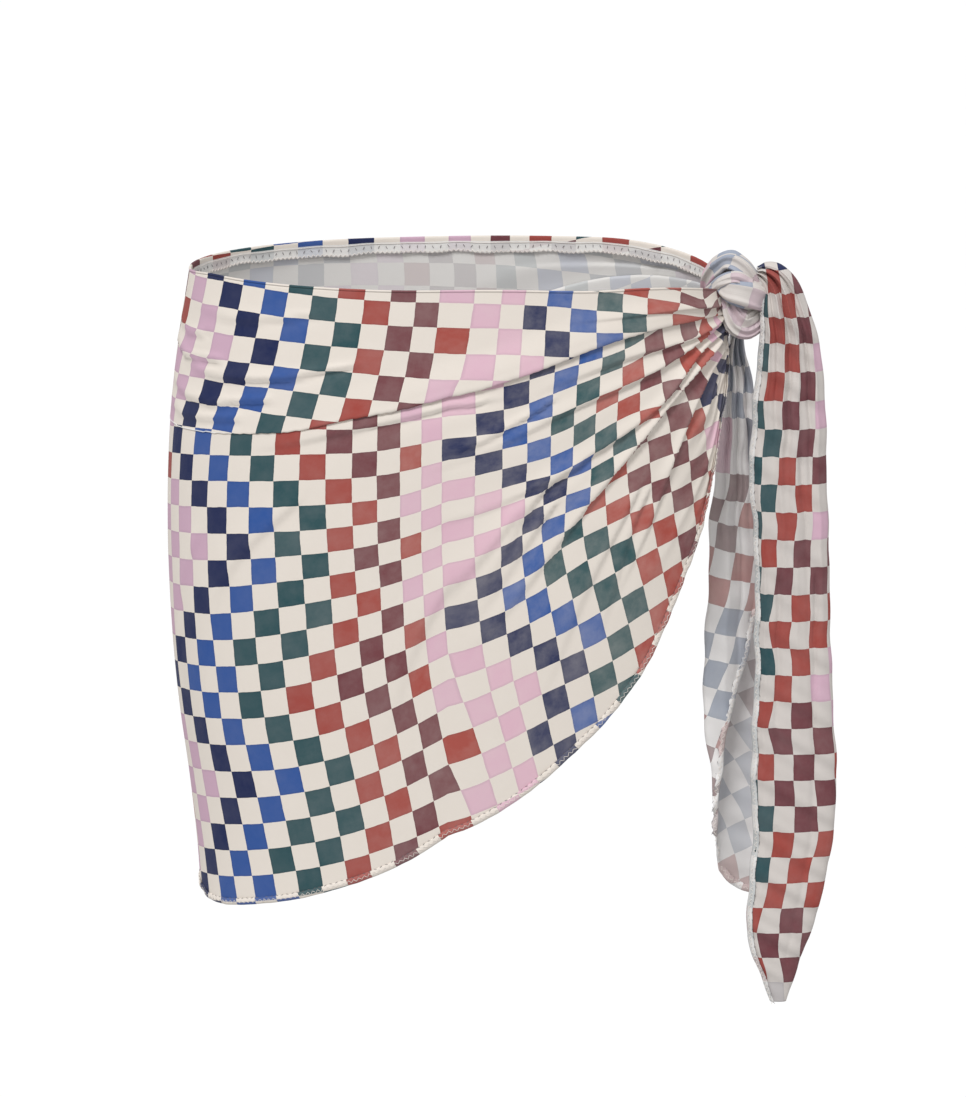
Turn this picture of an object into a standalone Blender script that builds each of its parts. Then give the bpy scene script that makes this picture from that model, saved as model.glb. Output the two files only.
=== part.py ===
"""A short wrap sarong, worn hollow round the hips and knotted at the wearer's left hip.

Metres, +Z up. +X is the wearer's left, +Y their back. The origin is the middle of the waist opening.
A place on the wrapped cloth is given by its angle round the hips in degrees (0 at the wearer's right,
90 at the middle of the front, 180 at their left) and by its drop below the waist in metres.
"""

import bmesh
import bpy
import numpy as np

NAME = "wrap_sarong"
WALL = 0.0012
HEM_WALL = 0.0018
SEAM_GAP = 0.0003
WAIST_HEM_DEEP = 0.011
WAIST_HEM_ROWS = 3
LOWER_HEM_DEEP = 0.004
SIDE_SEAM_ANGLE = 0.06
ROUNDNESS = {"right": 2.05, "left": 2.6, "back": 2.05}
FRONT_LINES = 38
BACK_LINES = 26
FRONT_ROWS = 24
BACK_ROWS = 12

# Half widths and half depths of the hips' section at each drop.
SECTION_COLUMNS = ("drop", "right", "left", "front", "back")
SECTIONS = (
    (-0.020, 0.1660, 0.174, 0.109, 0.109),
    (0.000, 0.1690, 0.176, 0.110, 0.110),
    (0.045, 0.1765, 0.181, 0.112, 0.114),
    (0.090, 0.1820, 0.184, 0.113, 0.118),
    (0.160, 0.1855, 0.185, 0.112, 0.121),
    (0.235, 0.1840, 0.183, 0.109, 0.119),
    (0.290, 0.1797, 0.180, 0.106, 0.115),
    (0.340, 0.1737, 0.176, 0.103, 0.111),
    (0.390, 0.1690, 0.171, 0.100, 0.108),
    (0.440, 0.1665, 0.168, 0.098, 0.106),
)

# The cloth's drop lines, which fan out from the knot: where each leaves the waist and meets the hem.
LINE_COLUMNS = ("waist_angle", "waist_drop", "hem_angle", "hem_drop")
LINES = (
    (0, 0.000, 0, 0.413),
    (20, 0.000, 20, 0.4195),
    (40, 0.000, 40, 0.4125),
    (60, 0.000, 60, 0.3985),
    (80, 0.000, 80, 0.374),
    (98, -0.001, 97, 0.336),
    (112, -0.002, 110, 0.3005),
    (124, -0.003, 120, 0.272),
    (134, -0.002, 129.5, 0.239),
    (143, 0.000, 138, 0.199),
    (150, 0.002, 144.5, 0.171),
    (156, 0.004, 149, 0.149),
    (161, 0.006, 153, 0.124),
    (165, 0.008, 156.5, 0.101),
    (168, 0.010, 160.5, 0.081),
    (170, 0.012, 165, 0.062),
    (171, 0.014, 170, 0.047),
)
# The back's lines reach a little further round, so its gathered end comes up behind the knot.
REACH = {"front": 1.0, "back": 1.03}
# The front's waist edge rises in the middle: how high, and from and to which angles it does.
FRONT_RISE = 0.0046
RISES_OVER = 30
FALLS_FROM = 90
FALLS_OVER = 34

# Folds of the wrapped cloth: a bent line near the knot, through a middle, to where it fades, then how
# far its upper side stands out and how far that reaches.
FOLD_COLUMNS = ("near_angle", "near_drop", "via_angle", "via_drop", "far_angle", "far_drop", "rise", "reach")
FRONT_FOLDS = (
    (168, 0.022, 108, 0.029, 34, 0.100, 0.0030, 0.018),
    (158, 0.042, 118, 0.082, 78, 0.172, 0.0022, 0.016),
    (158, 0.048, 117, 0.110, 93, 0.225, 0.0024, 0.016),
    (158, 0.054, 133, 0.120, 118, 0.212, 0.0022, 0.014),
)
BACK_FOLDS = (
    (168, 0.024, 112, 0.034, 40, 0.120, 0.0030, 0.020),
    (158, 0.044, 120, 0.088, 84, 0.190, 0.0024, 0.018),
    (158, 0.052, 124, 0.120, 100, 0.235, 0.0022, 0.016),
)
FOLD_STEPS = 60
FOLDS_START = 0.010

# The hanging ends: each row is a section across the folded strip, from top to tip.
LONG_TAIL_COLUMNS = ("left", "left_height", "right", "right_height", "middle_depth", "half_thick")
LONG_TAIL = (
    (0.2046, -0.0100, 0.2065, 0.0020, -0.036, 0.0035),
    (0.2046, -0.0150, 0.2140, 0.0030, -0.038, 0.0050),
    (0.2030, -0.0220, 0.2255, -0.0100, -0.040, 0.0070),
    (0.2015, -0.0330, 0.2335, -0.0270, -0.041, 0.0085),
    (0.1990, -0.0500, 0.2386, -0.0480, -0.042, 0.0095),
    (0.1960, -0.0800, 0.2417, -0.0790, -0.043, 0.0105),
    (0.1945, -0.1255, 0.2437, -0.1255, -0.044, 0.0110),
    (0.1980, -0.1854, 0.2460, -0.1854, -0.045, 0.0110),
    (0.1995, -0.2390, 0.2482, -0.2390, -0.045, 0.0105),
    (0.1985, -0.2865, 0.2503, -0.2865, -0.045, 0.0105),
    (0.1983, -0.3273, 0.2536, -0.3273, -0.045, 0.0100),
    (0.1992, -0.3684, 0.2517, -0.3684, -0.045, 0.0095),
    (0.1982, -0.4028, 0.2470, -0.4028, -0.045, 0.0090),
    (0.1966, -0.4340, 0.2396, -0.4340, -0.045, 0.0080),
    (0.2016, -0.4569, 0.2314, -0.4569, -0.045, 0.0065),
    (0.2095, -0.4760, 0.2245, -0.4765, -0.045, 0.0045),
    (0.2145, -0.4862, 0.2205, -0.4862, -0.045, 0.0030),
)
SHORT_TAIL_COLUMNS = ("height", "fold", "edge", "fold_depth", "edge_depth", "half_thick")
SHORT_TAIL = (
    (-0.0300, 0.1820, 0.1905, -0.018, -0.016, 0.0025),
    (-0.0400, 0.1815, 0.1920, -0.018, -0.014, 0.0035),
    (-0.0530, 0.1800, 0.1950, -0.018, -0.011, 0.0045),
    (-0.0700, 0.1785, 0.1990, -0.018, -0.008, 0.0055),
    (-0.0889, 0.1765, 0.2020, -0.018, -0.006, 0.0065),
    (-0.1223, 0.1735, 0.2055, -0.019, -0.004, 0.0075),
    (-0.1560, 0.1705, 0.2085, -0.020, -0.003, 0.0085),
    (-0.1932, 0.1690, 0.2100, -0.022, -0.002, 0.0090),
    (-0.2237, 0.1679, 0.2100, -0.023, -0.002, 0.0090),
    (-0.2853, 0.1666, 0.2095, -0.025, -0.003, 0.0085),
    (-0.3198, 0.1687, 0.2090, -0.025, -0.004, 0.0080),
    (-0.3426, 0.1732, 0.2085, -0.024, -0.005, 0.0075),
    (-0.3613, 0.1754, 0.2080, -0.023, -0.006, 0.0070),
    (-0.4250, 0.1760, 0.2070, -0.021, -0.008, 0.0055),
)
# Where the short tail's cut end lies, from the front layer's free edge round the fold to the back layer's.
SHORT_END_COLUMNS = ("across", "height")
SHORT_END = (
    (0.00, -0.2150),
    (0.12, -0.2650),
    (0.25, -0.3120),
    (0.38, -0.3560),
    (0.48, -0.3790),
    (0.56, -0.3980),
    (0.68, -0.4090),
    (0.82, -0.4180),
    (1.00, -0.4240),
)
TAIL_ROUND_STEPS = 14
LONG_TAIL_ROWS = 22
SHORT_TAIL_ROWS = 14

# The knot's lumps: rings along a bent middle line, each with its half sizes across and along Y.
LUMP_COLUMNS = ("x", "y", "z", "half_high", "half_deep")
KNOT_HOOD = (
    (0.1675, -0.0040, -0.0140, 0.0040, 0.0060),
    (0.1700, -0.0110, -0.0030, 0.0055, 0.0085),
    (0.1755, -0.0190, 0.0050, 0.0065, 0.0105),
    (0.1835, -0.0260, 0.0082, 0.0068, 0.0125),
    (0.1915, -0.0300, 0.0055, 0.0062, 0.0120),
    (0.1985, -0.0310, 0.0005, 0.0045, 0.0085),
)
KNOT_WRAP = (
    (0.1805, -0.0330, -0.0160, 0.0060, 0.0080),
    (0.1845, -0.0350, -0.0140, 0.0088, 0.0125),
    (0.1915, -0.0360, -0.0130, 0.0092, 0.0145),
    (0.1975, -0.0355, -0.0142, 0.0078, 0.0120),
    (0.2008, -0.0345, -0.0165, 0.0045, 0.0070),
)
KNOT_BULGE = (
    (0.1805, -0.0320, -0.0310, 0.0060, 0.0070),
    (0.1840, -0.0330, -0.0325, 0.0084, 0.0105),
    (0.1895, -0.0340, -0.0328, 0.0090, 0.0120),
    (0.1950, -0.0340, -0.0315, 0.0078, 0.0100),
    (0.1990, -0.0330, -0.0300, 0.0048, 0.0065),
)
LUMP_SIDES = 18

COLOURS = {
    "printed_cloth": (0.62, 0.52, 0.50, 1.0),
    "hem_edge": (0.80, 0.74, 0.70, 1.0),
    "wrong_side": (0.70, 0.66, 0.68, 1.0),
}


def column(table, names, name):
    """One named column of a table, as an array."""
    return np.array(table, float)[:, names.index(name)]


def read(x, xs, ys):
    """Smooth curve through (xs, ys), read at x."""
    x = np.asarray(x, float)
    slopes = np.gradient(ys, xs)
    i = np.clip(np.searchsorted(xs, x) - 1, 0, len(xs) - 2)
    span = xs[i + 1] - xs[i]
    t = np.clip((x - xs[i]) / span, 0, 1)
    start = (1 + 2 * t) * (1 - t) ** 2 * ys[i] + t * (1 - t) ** 2 * span * slopes[i]
    end = t**2 * (3 - 2 * t) * ys[i + 1] + t**2 * (t - 1) * span * slopes[i + 1]
    return start + end


def hips(angle, drop):
    """Point of the hips' surface and its outward direction. Past 180 degrees it is the back."""
    drops = column(SECTIONS, SECTION_COLUMNS, "drop")
    size = {name: read(drop, drops, column(SECTIONS, SECTION_COLUMNS, name)) for name in SECTION_COLUMNS[1:]}
    cos = np.cos(np.radians(angle))
    sin = np.sin(np.radians(angle))
    wide = np.where(cos > 0, size["right"], size["left"])
    deep = np.where(sin > 0, size["front"], size["back"])
    power = np.where(sin > 0, np.where(cos > 0, ROUNDNESS["right"], ROUNDNESS["left"]), ROUNDNESS["back"])
    x = -np.sign(cos) * wide * np.abs(cos) ** (2 / power)
    y = -np.sign(sin) * deep * np.abs(sin) ** (2 / power)
    out_x = np.sign(x) * np.abs(x / wide) ** (power - 1) / wide
    out_y = np.sign(y) * np.abs(y / deep) ** (power - 1) / deep
    length = np.hypot(out_x, out_y)
    return np.stack([x, y, -drop + 0 * x], -1), np.stack([out_x / length, out_y / length, 0 * x], -1)


def across(angle, drop):
    """Distance across the front or the back, measured flat, for placing folds."""
    return 0.16 * np.radians(angle) + 0 * drop


def fold_rise(angle, drop, folds):
    """How far the folds push the cloth out at a place given as on the front."""
    rise = np.zeros(np.broadcast(angle, drop).shape)
    t = np.linspace(0, 1, FOLD_STEPS)
    here = np.stack(np.broadcast_arrays(across(angle, drop), drop), -1)
    for fold in folds:
        size = dict(zip(FOLD_COLUMNS, fold))
        ways = []
        for part in ("angle", "drop"):
            near, via, far = (size[f"{place}_{part}"] for place in ("near", "via", "far"))
            bend = 2 * via - (near + far) / 2
            ways.append((1 - t) ** 2 * near + 2 * t * (1 - t) * bend + t**2 * far)
        line = np.stack([across(ways[0], ways[1]), ways[1]], -1)
        apart = np.linalg.norm(here[..., None, :] - line, axis=-1)
        nearest = apart.argmin(-1)
        distance = apart.min(-1)
        above = np.where(here[..., 1] < line[nearest, 1], 1.0, -0.45)
        fade = np.sin(np.pi * np.clip(0.12 + 0.88 * t[nearest], 0, 1)) ** 0.7
        rise += size["rise"] * above * fade * np.exp(-((distance / size["reach"]) ** 2))
    return rise


def smooth(x):
    """0 below 0, 1 above 1, and an easy rise between."""
    x = np.clip(x, 0, 1)
    return x * x * (3 - 2 * x)


def front_rise(angle):
    """How much the front's waist edge stands above the level one."""
    return FRONT_RISE * smooth(angle / RISES_OVER) * (1 - smooth((angle - FALLS_FROM) / FALLS_OVER))


def wrap_lines(count):
    """The drop lines' four columns, read smoothly at evenly spread lines."""
    rows = np.arange(len(LINES), dtype=float)
    spread = np.linspace(0, len(LINES) - 1, count)
    return [read(spread, rows, column(LINES, LINE_COLUMNS, name)) for name in LINE_COLUMNS]


def wrap_grid(side, count, stops, out):
    """Grid of points on the wrapped cloth. stops(length) gives each row's distance down its drop line."""
    waist_angle, waist_drop, hem_angle, hem_drop = wrap_lines(count)
    if side == "front":
        waist_drop = waist_drop - front_rise(waist_angle)
    waist_angle = np.maximum(waist_angle, SIDE_SEAM_ANGLE)
    hem_angle = np.maximum(hem_angle, SIDE_SEAM_ANGLE)
    length = np.hypot(hem_drop - waist_drop, across(hem_angle - waist_angle, 0))
    s = stops(length) / length
    angle = waist_angle + (hem_angle - waist_angle) * s
    drop = waist_drop + (hem_drop - waist_drop) * s
    rise = fold_rise(angle, drop, FRONT_FOLDS if side == "front" else BACK_FOLDS)
    rise *= np.clip((s * length - WAIST_HEM_DEEP) / FOLDS_START, 0, 1)
    angle = angle * REACH[side]
    points, normals = hips(angle if side == "front" else 360 - angle, drop)
    grid = points + normals * (rise + out)[..., None]
    return grid if side == "front" else grid[:, ::-1]


def new_object(name, mesh, material):
    """Add a mesh to the collection, with its own cloth material."""
    obj = bpy.data.objects.new(name, mesh)
    bpy.data.collections[NAME].objects.link(obj)
    finish = bpy.data.materials.new(name + "_cloth")
    finish.use_nodes = True
    shader = finish.node_tree.nodes["Principled BSDF"]
    shader.inputs["Base Color"].default_value = COLOURS[material]
    shader.inputs["Roughness"].default_value = 0.85
    shader.inputs["Metallic"].default_value = 0.0
    mesh.materials.append(finish)
    mesh.shade_smooth()
    return obj


def cloth(name, grid, thickness, material="printed_cloth"):
    """A wall of cloth: an open sheet through the grid's points, thickened evenly both ways."""
    rows, columns = grid.shape[:2]
    sheet = bmesh.new()
    corners = [sheet.verts.new(point) for point in grid.reshape(-1, 3)]
    for row in range(rows - 1):
        for place in range(columns - 1):
            first = row * columns + place
            ring = (first, first + columns, first + columns + 1, first + 1)
            sheet.faces.new([corners[i] for i in ring])
    mesh = bpy.data.meshes.new(name)
    sheet.to_mesh(mesh)
    sheet.free()
    obj = new_object(name, mesh, material)
    wall = obj.modifiers.new("Wall", "SOLIDIFY")
    wall.thickness = thickness
    wall.offset = 0.0
    return obj


def lump(name, table, material="printed_cloth"):
    """A rounded lump of wound cloth: rings along the table's middle line, closed by end faces."""
    rows = np.array(table)
    turn = np.linspace(0, 2 * np.pi, LUMP_SIDES, endpoint=False)
    middle = rows[:, :3]
    along = np.gradient(middle, axis=0)
    along /= np.linalg.norm(along, axis=1)[:, None]
    solid = bmesh.new()
    rings = []
    for row, way in zip(rows, along):
        deep = np.array((0.0, 1.0, 0.0)) - way * way[1]
        deep /= np.linalg.norm(deep)
        high = np.cross(way, deep)
        ring = [row[:3] + high * row[3] * np.cos(a) + deep * row[4] * np.sin(a) for a in turn]
        rings.append([solid.verts.new(point) for point in ring])
    for low, top in zip(rings, rings[1:]):
        for i in range(LUMP_SIDES):
            j = (i + 1) % LUMP_SIDES
            solid.faces.new((low[i], low[j], top[j], top[i]))
    solid.faces.new(rings[0][::-1])
    solid.faces.new(rings[-1])
    bmesh.ops.recalc_face_normals(solid, faces=solid.faces)
    mesh = bpy.data.meshes.new(name)
    solid.to_mesh(mesh)
    solid.free()
    return new_object(name, mesh, material)


def long_tail_grid():
    """The front end: a strip folded lengthwise into an open tube, its opening at the back left."""
    rows = np.arange(len(LONG_TAIL), dtype=float)
    spread = np.linspace(0, len(LONG_TAIL) - 1, LONG_TAIL_ROWS)
    part = {n: read(spread, rows, column(LONG_TAIL, LONG_TAIL_COLUMNS, n)) for n in LONG_TAIL_COLUMNS}
    turn = np.radians(np.linspace(180, 480, TAIL_ROUND_STEPS))
    lean = (1 + np.cos(turn)) / 2
    x = part["left"][:, None] * (1 - lean) + part["right"][:, None] * lean
    z = part["left_height"][:, None] * (1 - lean) + part["right_height"][:, None] * lean
    y = part["middle_depth"][:, None] + part["half_thick"][:, None] * np.sin(turn)
    return np.stack([x, y, z], -1)


def short_tail_grid():
    """The rear end: a front layer, a fold at the left and a longer back layer, cut off on a slant."""
    heights = -column(SHORT_TAIL, SHORT_TAIL_COLUMNS, "height")
    place = np.linspace(0, 1, TAIL_ROUND_STEPS)
    end = read(place, column(SHORT_END, SHORT_END_COLUMNS, "across"), column(SHORT_END, SHORT_END_COLUMNS, "height"))
    down = np.linspace(0, 1, SHORT_TAIL_ROWS)[:, None]
    top = SHORT_TAIL[0][0]
    z = top + (end - top) * down
    part = {n: read(-z, heights, column(SHORT_TAIL, SHORT_TAIL_COLUMNS, n)) for n in SHORT_TAIL_COLUMNS[1:]}
    turn = np.radians(-45 - 270 * place)
    lean = (1 + np.cos(turn)) / 2
    x = part["fold"] * (1 - lean) + part["edge"] * lean
    y = part["fold_depth"] * (1 - lean) + part["edge_depth"] * lean + part["half_thick"] * np.sin(turn)
    return np.stack([x, y, z], -1)


def build_wrap():
    """Both stretches round the hips, each with its waist hem inside and its lower hem below."""
    turned = np.linspace(0, WAIST_HEM_DEEP, WAIST_HEM_ROWS)[:, None]

    def panel_rows(length):
        end = length - LOWER_HEM_DEEP - SEAM_GAP
        below = np.linspace(0, 1, rows)[1:, None]
        return np.concatenate([turned + 0 * end, turned[-1] + (end - turned[-1]) * below])

    for side, count, rows in (("front", FRONT_LINES, FRONT_ROWS), ("back", BACK_LINES, BACK_ROWS)):
        cloth(f"{side}_wrap", wrap_grid(side, count, panel_rows, 0.0), WALL)
        waist = wrap_grid(side, count, lambda length: turned + 0 * length, -(WALL + SEAM_GAP))
        cloth(f"waist_hem_{side}", waist, WALL, "wrong_side")
        edge = np.array((LOWER_HEM_DEEP, 0.0))[:, None]
        lower = wrap_grid(side, count, lambda length: length - edge, 0.0)
        cloth(f"lower_hem_{side}", lower, HEM_WALL, "hem_edge")


def build():
    """Clear the scene, then make every piece in the sarong's own collection."""
    for obj in list(bpy.data.objects):
        bpy.data.objects.remove(obj)
    bpy.context.scene.collection.children.link(bpy.data.collections.new(NAME))
    build_wrap()
    lump("knot_hood", KNOT_HOOD)
    lump("knot_wrap", KNOT_WRAP)
    lump("knot_bulge", KNOT_BULGE)
    cloth("long_tail", long_tail_grid(), WALL)
    cloth("short_tail", short_tail_grid(), WALL, "wrong_side")


build()
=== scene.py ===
# %% [markdown]
# # A short wrap sarong, knotted at the hip
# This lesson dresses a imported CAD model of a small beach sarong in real-looking cloth. The sarong is one
# half-moon of thin printed mesh. It is wound once round the hips and its two long ends are knotted at the
# wearer's left. Nobody wears it here: it keeps its hollow, worn form.
#
# Everything is in metres with +Z up. +X is the wearer's left, where the knot is, and the origin is the
# middle of the waist opening.

# %% Load the frame
import math

import bmesh
import bpy
import numpy as np
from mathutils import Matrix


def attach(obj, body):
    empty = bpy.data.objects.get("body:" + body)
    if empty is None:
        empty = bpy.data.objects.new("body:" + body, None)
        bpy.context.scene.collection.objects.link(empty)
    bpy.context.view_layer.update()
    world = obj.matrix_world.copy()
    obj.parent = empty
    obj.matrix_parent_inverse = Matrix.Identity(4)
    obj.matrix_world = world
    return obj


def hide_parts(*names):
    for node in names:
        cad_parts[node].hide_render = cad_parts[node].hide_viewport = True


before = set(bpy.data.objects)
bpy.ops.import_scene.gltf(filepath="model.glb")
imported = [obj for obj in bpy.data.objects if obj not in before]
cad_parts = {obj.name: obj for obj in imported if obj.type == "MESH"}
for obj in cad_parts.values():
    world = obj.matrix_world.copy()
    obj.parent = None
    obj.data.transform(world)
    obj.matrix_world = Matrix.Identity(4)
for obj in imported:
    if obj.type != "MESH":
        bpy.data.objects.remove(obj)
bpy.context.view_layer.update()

print("nodes:", ", ".join(sorted(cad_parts)))

# %% [markdown]
# ## Camera
# A long lens a few metres away flattens perspective, as a catalogue picture does. The camera stands a
# little above the waist, looks along +Y and tips down. The field of view is set from the width of the
# picture, so the sensor is fitted horizontally.

# %% Camera
SEEN_FROM = 3.2
STANDS_LEFT = 0.02145
RAISED = math.radians(10.5)
TIPPED_DOWN = math.radians(13.78)
PICTURE_WIDTH = 0.6279
SENSOR = 36.0

camera_data = bpy.data.cameras.new("camera")
camera_data.sensor_fit = "HORIZONTAL"
camera_data.sensor_width = SENSOR
camera_data.lens = SENSOR * SEEN_FROM / PICTURE_WIDTH
camera = bpy.data.objects.new("camera", camera_data)
camera.location = (STANDS_LEFT, -SEEN_FROM * math.cos(RAISED), SEEN_FROM * math.sin(RAISED))
camera.rotation_euler = (math.pi / 2 - TIPPED_DOWN, 0, 0)
bpy.context.scene.collection.objects.link(camera)
bpy.context.scene.camera = camera
print(f"lens {camera_data.lens:.1f} mm at {SEEN_FROM} m")

# %% [markdown]
# ## The form under the cloth
# The hips are an oval whose half widths and half depths change with the drop below the waist. A place on
# the wrapped cloth is an angle round the hips (0 at the wearer's right, 90 in front, 180 at the knot) and
# a drop in metres. A superellipse reads the oval at any angle, and a smooth curve reads the table at any
# drop. These are the CAD model's own sizes, so the shell lies on its solid.

# %% Reading a table
def read(x, xs, ys):
    """Smooth curve through (xs, ys), read at x."""
    x = np.asarray(x, float)
    slopes = np.gradient(ys, xs)
    i = np.clip(np.searchsorted(xs, x) - 1, 0, len(xs) - 2)
    span = xs[i + 1] - xs[i]
    t = np.clip((x - xs[i]) / span, 0, 1)
    start = (1 + 2 * t) * (1 - t) ** 2 * ys[i] + t * (1 - t) ** 2 * span * slopes[i]
    end = t**2 * (3 - 2 * t) * ys[i + 1] + t**2 * (t - 1) * span * slopes[i + 1]
    return start + end


def table(names, rows):
    """A short table as a dictionary of columns."""
    return dict(zip(names, np.array(rows, float).T))


def smooth(x):
    """0 below 0, 1 above 1, and an easy rise between."""
    x = np.clip(x, 0, 1)
    return x * x * (3 - 2 * x)


print("half way up the easy rise:", smooth(0.5))

# %% [markdown]
# The hips' own table follows, with the powers that shape the oval: 2 makes an ellipse, and more makes it
# fuller. It is fullest at the front left, because the knot pulls the cloth out there.

# %% The hips
ROUNDNESS = {"right": 2.05, "left": 2.6, "back": 2.05}
# The mean distance round the hips for each radian, and how unevenly it grows: slower at the sides.
ROUND_PER_RADIAN = 0.1485
SIDES_LESS = 0.018
SECTIONS = table(
    ("drop", "right", "left", "front", "back"),
    (
        (-0.020, 0.1660, 0.174, 0.109, 0.109),
        (0.000, 0.1690, 0.176, 0.110, 0.110),
        (0.045, 0.1765, 0.181, 0.112, 0.114),
        (0.090, 0.1820, 0.184, 0.113, 0.118),
        (0.160, 0.1855, 0.185, 0.112, 0.121),
        (0.235, 0.1840, 0.183, 0.109, 0.119),
        (0.290, 0.1797, 0.180, 0.106, 0.115),
        (0.340, 0.1737, 0.176, 0.103, 0.111),
        (0.390, 0.1690, 0.171, 0.100, 0.108),
        (0.440, 0.1665, 0.168, 0.098, 0.106),
    ),
)


def hips(angle, drop):
    """Points on the hips and their outward directions. Past 180 degrees it is the back."""
    size = {name: read(drop, SECTIONS["drop"], values) for name, values in SECTIONS.items()}
    cos = np.cos(np.radians(angle))
    sin = np.sin(np.radians(angle))
    wide = np.where(cos > 0, size["right"], size["left"])
    deep = np.where(sin > 0, size["front"], size["back"])
    power = np.where(sin > 0, np.where(cos > 0, ROUNDNESS["right"], ROUNDNESS["left"]), ROUNDNESS["back"])
    x = -np.sign(cos) * wide * np.abs(cos) ** (2 / power)
    y = -np.sign(sin) * deep * np.abs(sin) ** (2 / power)
    out_x = np.sign(x) * np.abs(x / wide) ** (power - 1) / wide
    out_y = np.sign(y) * np.abs(y / deep) ** (power - 1) / deep
    length = np.hypot(out_x, out_y)
    return np.stack([x, y, -drop + 0 * x], -1), np.stack([out_x / length, out_y / length, 0 * x], -1)


def across(angle):
    """Distance round the hips from the wearer's right, in metres, for an angle up to 180."""
    turn = np.radians(angle)
    return ROUND_PER_RADIAN * turn - SIDES_LESS * np.sin(2 * turn)


print(f"half way round the hips: {across(180) * 1000:.0f} mm")

# %% [markdown]
# ## The fan of drop lines
# A half-moon cloth gathered into a knot hangs in a fan: each thread line leaves the waist, drops and leans
# towards the knot, and the curved hem comes up to meet it. The table says where each line starts and ends.
# A place is then a line number and a share of the way down it, and creases that run into the knot follow
# lines of equal share.

# %% The fan
LINES = table(
    ("waist_angle", "waist_drop", "hem_angle", "hem_drop"),
    (
        (0, 0.000, 0, 0.413),
        (20, 0.000, 20, 0.4195),
        (40, 0.000, 40, 0.4125),
        (60, 0.000, 60, 0.3985),
        (80, 0.000, 80, 0.374),
        (98, -0.001, 97, 0.336),
        (112, -0.002, 110, 0.3005),
        (124, -0.003, 120, 0.272),
        (134, -0.002, 129.5, 0.239),
        (143, 0.000, 138, 0.199),
        (150, 0.002, 144.5, 0.171),
        (156, 0.004, 149, 0.149),
        (161, 0.006, 153, 0.124),
        (165, 0.008, 156.5, 0.101),
        (168, 0.010, 160.5, 0.081),
        (170, 0.012, 165, 0.062),
        (171, 0.014, 170, 0.047),
    ),
)
LAST_LINE = len(LINES["hem_drop"]) - 1
# The back's lines reach a little further round than the front's, and end just behind the knot.
BACK_REACH = 1.03
# What each line adds to the distance when the columns are spread, so that they crowd near the knot.
CROWD = 0.006
# The front's waist edge rises in the middle: how high, and over which angles it rises and falls again.
FRONT_RISE = 0.0046
RISES_OVER = 30
FALLS_FROM = 90
FALLS_OVER = 34


def line_ends(lines):
    """The four columns of the fan, read at any line numbers."""
    rows = np.arange(LAST_LINE + 1, dtype=float)
    return {name: read(lines, rows, values) for name, values in LINES.items()}


def front_rise(angle):
    """How much the front's waist edge stands above the level one."""
    return FRONT_RISE * smooth(angle / RISES_OVER) * (1 - smooth((angle - FALLS_FROM) / FALLS_OVER))


def spread_lines(count):
    """Line numbers about evenly far apart on the cloth, and closer where the fan gathers."""
    middle = across((LINES["waist_angle"] + LINES["hem_angle"]) / 2)
    so_far = np.concatenate([[0], np.cumsum(np.diff(middle) + CROWD)])
    return np.interp(np.linspace(0, so_far[-1], count), so_far, np.arange(LAST_LINE + 1))


def on_line(ends, share):
    """Angle and drop at a share of the way down each line."""
    angle = ends["waist_angle"] + (ends["hem_angle"] - ends["waist_angle"]) * share
    drop = ends["waist_drop"] + (ends["hem_drop"] - ends["waist_drop"]) * share
    return angle, drop


print(f"{LAST_LINE + 1} lines in the fan")

# %% [markdown]
# ## The drape fold
# One long soft fold runs from the knot across the front and dies out at the wearer's right. Above it the
# cloth hangs level from the waist, and below it the cloth is swung up by the knot, so the printed rows
# jump across it. A smooth bump can't hide that jump. So the mesh has rows that follow the fold, with a few
# rows that turn under it and come out again: a real little pleat, which hides the cloth it takes up.

# %% The drape fold's path
DRAPE = table(
    ("angle", "drop", "lap"),
    (
        (0, 0.0980, 0.08), (20, 0.0980, 0.12), (35, 0.0950, 0.20), (47, 0.0905, 0.35),
        (60, 0.0840, 0.50), (70, 0.0745, 0.70), (80, 0.0668, 0.85), (90, 0.0568, 0.95),
        (97, 0.0475, 1.00), (106, 0.0368, 1.00), (115, 0.0275, 1.00), (129, 0.0200, 0.90),
        (149, 0.0180, 0.75), (171, 0.0225, 0.40),
    ),
)
# How far the pleat laps over, how far it stands out, and how long the cloth takes to lie flat again.
LAP_DEEP = 0.0055
LAP_HIGH = 0.0026
LAP_EASE = 0.022
# The turn of the pleat: how far down and how far out each of its rows is, as shares of the two sizes.
TURN = table(
    ("down", "out"),
    (
        (0.00, 0.90), (0.40, 1.00), (0.75, 0.98), (0.95, 0.80), (1.00, 0.55), (0.85, 0.30),
        (0.55, 0.16), (0.30, 0.06), (0.30, -0.06), (0.60, -0.12),
    ),
)
SAMPLES_DOWN = np.linspace(0, 1, 600)


def fold_share(ends):
    """The share of the way down each line at which it crosses the drape fold."""
    angle, drop = on_line({k: v[:, None] for k, v in ends.items()}, SAMPLES_DOWN)
    past = drop > read(angle, DRAPE["angle"], DRAPE["drop"])
    return SAMPLES_DOWN[past.argmax(1)]


print(f"the drape fold laps {LAP_DEEP * 1000:.1f} mm and stands {LAP_HIGH * 1000:.1f} mm out")

# %% [markdown]
# ## Creases
# The smaller creases are ridges that roll over and drop sharply into a trough, like small tucks. Each runs
# along a bent line on the flat map of distance round and drop, from near the knot to where it fades. Their
# lengths, widths, heights and the cloth they hide are uneven, as a hand-tied cloth's are. The back has its
# own, in the same manner.

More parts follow.
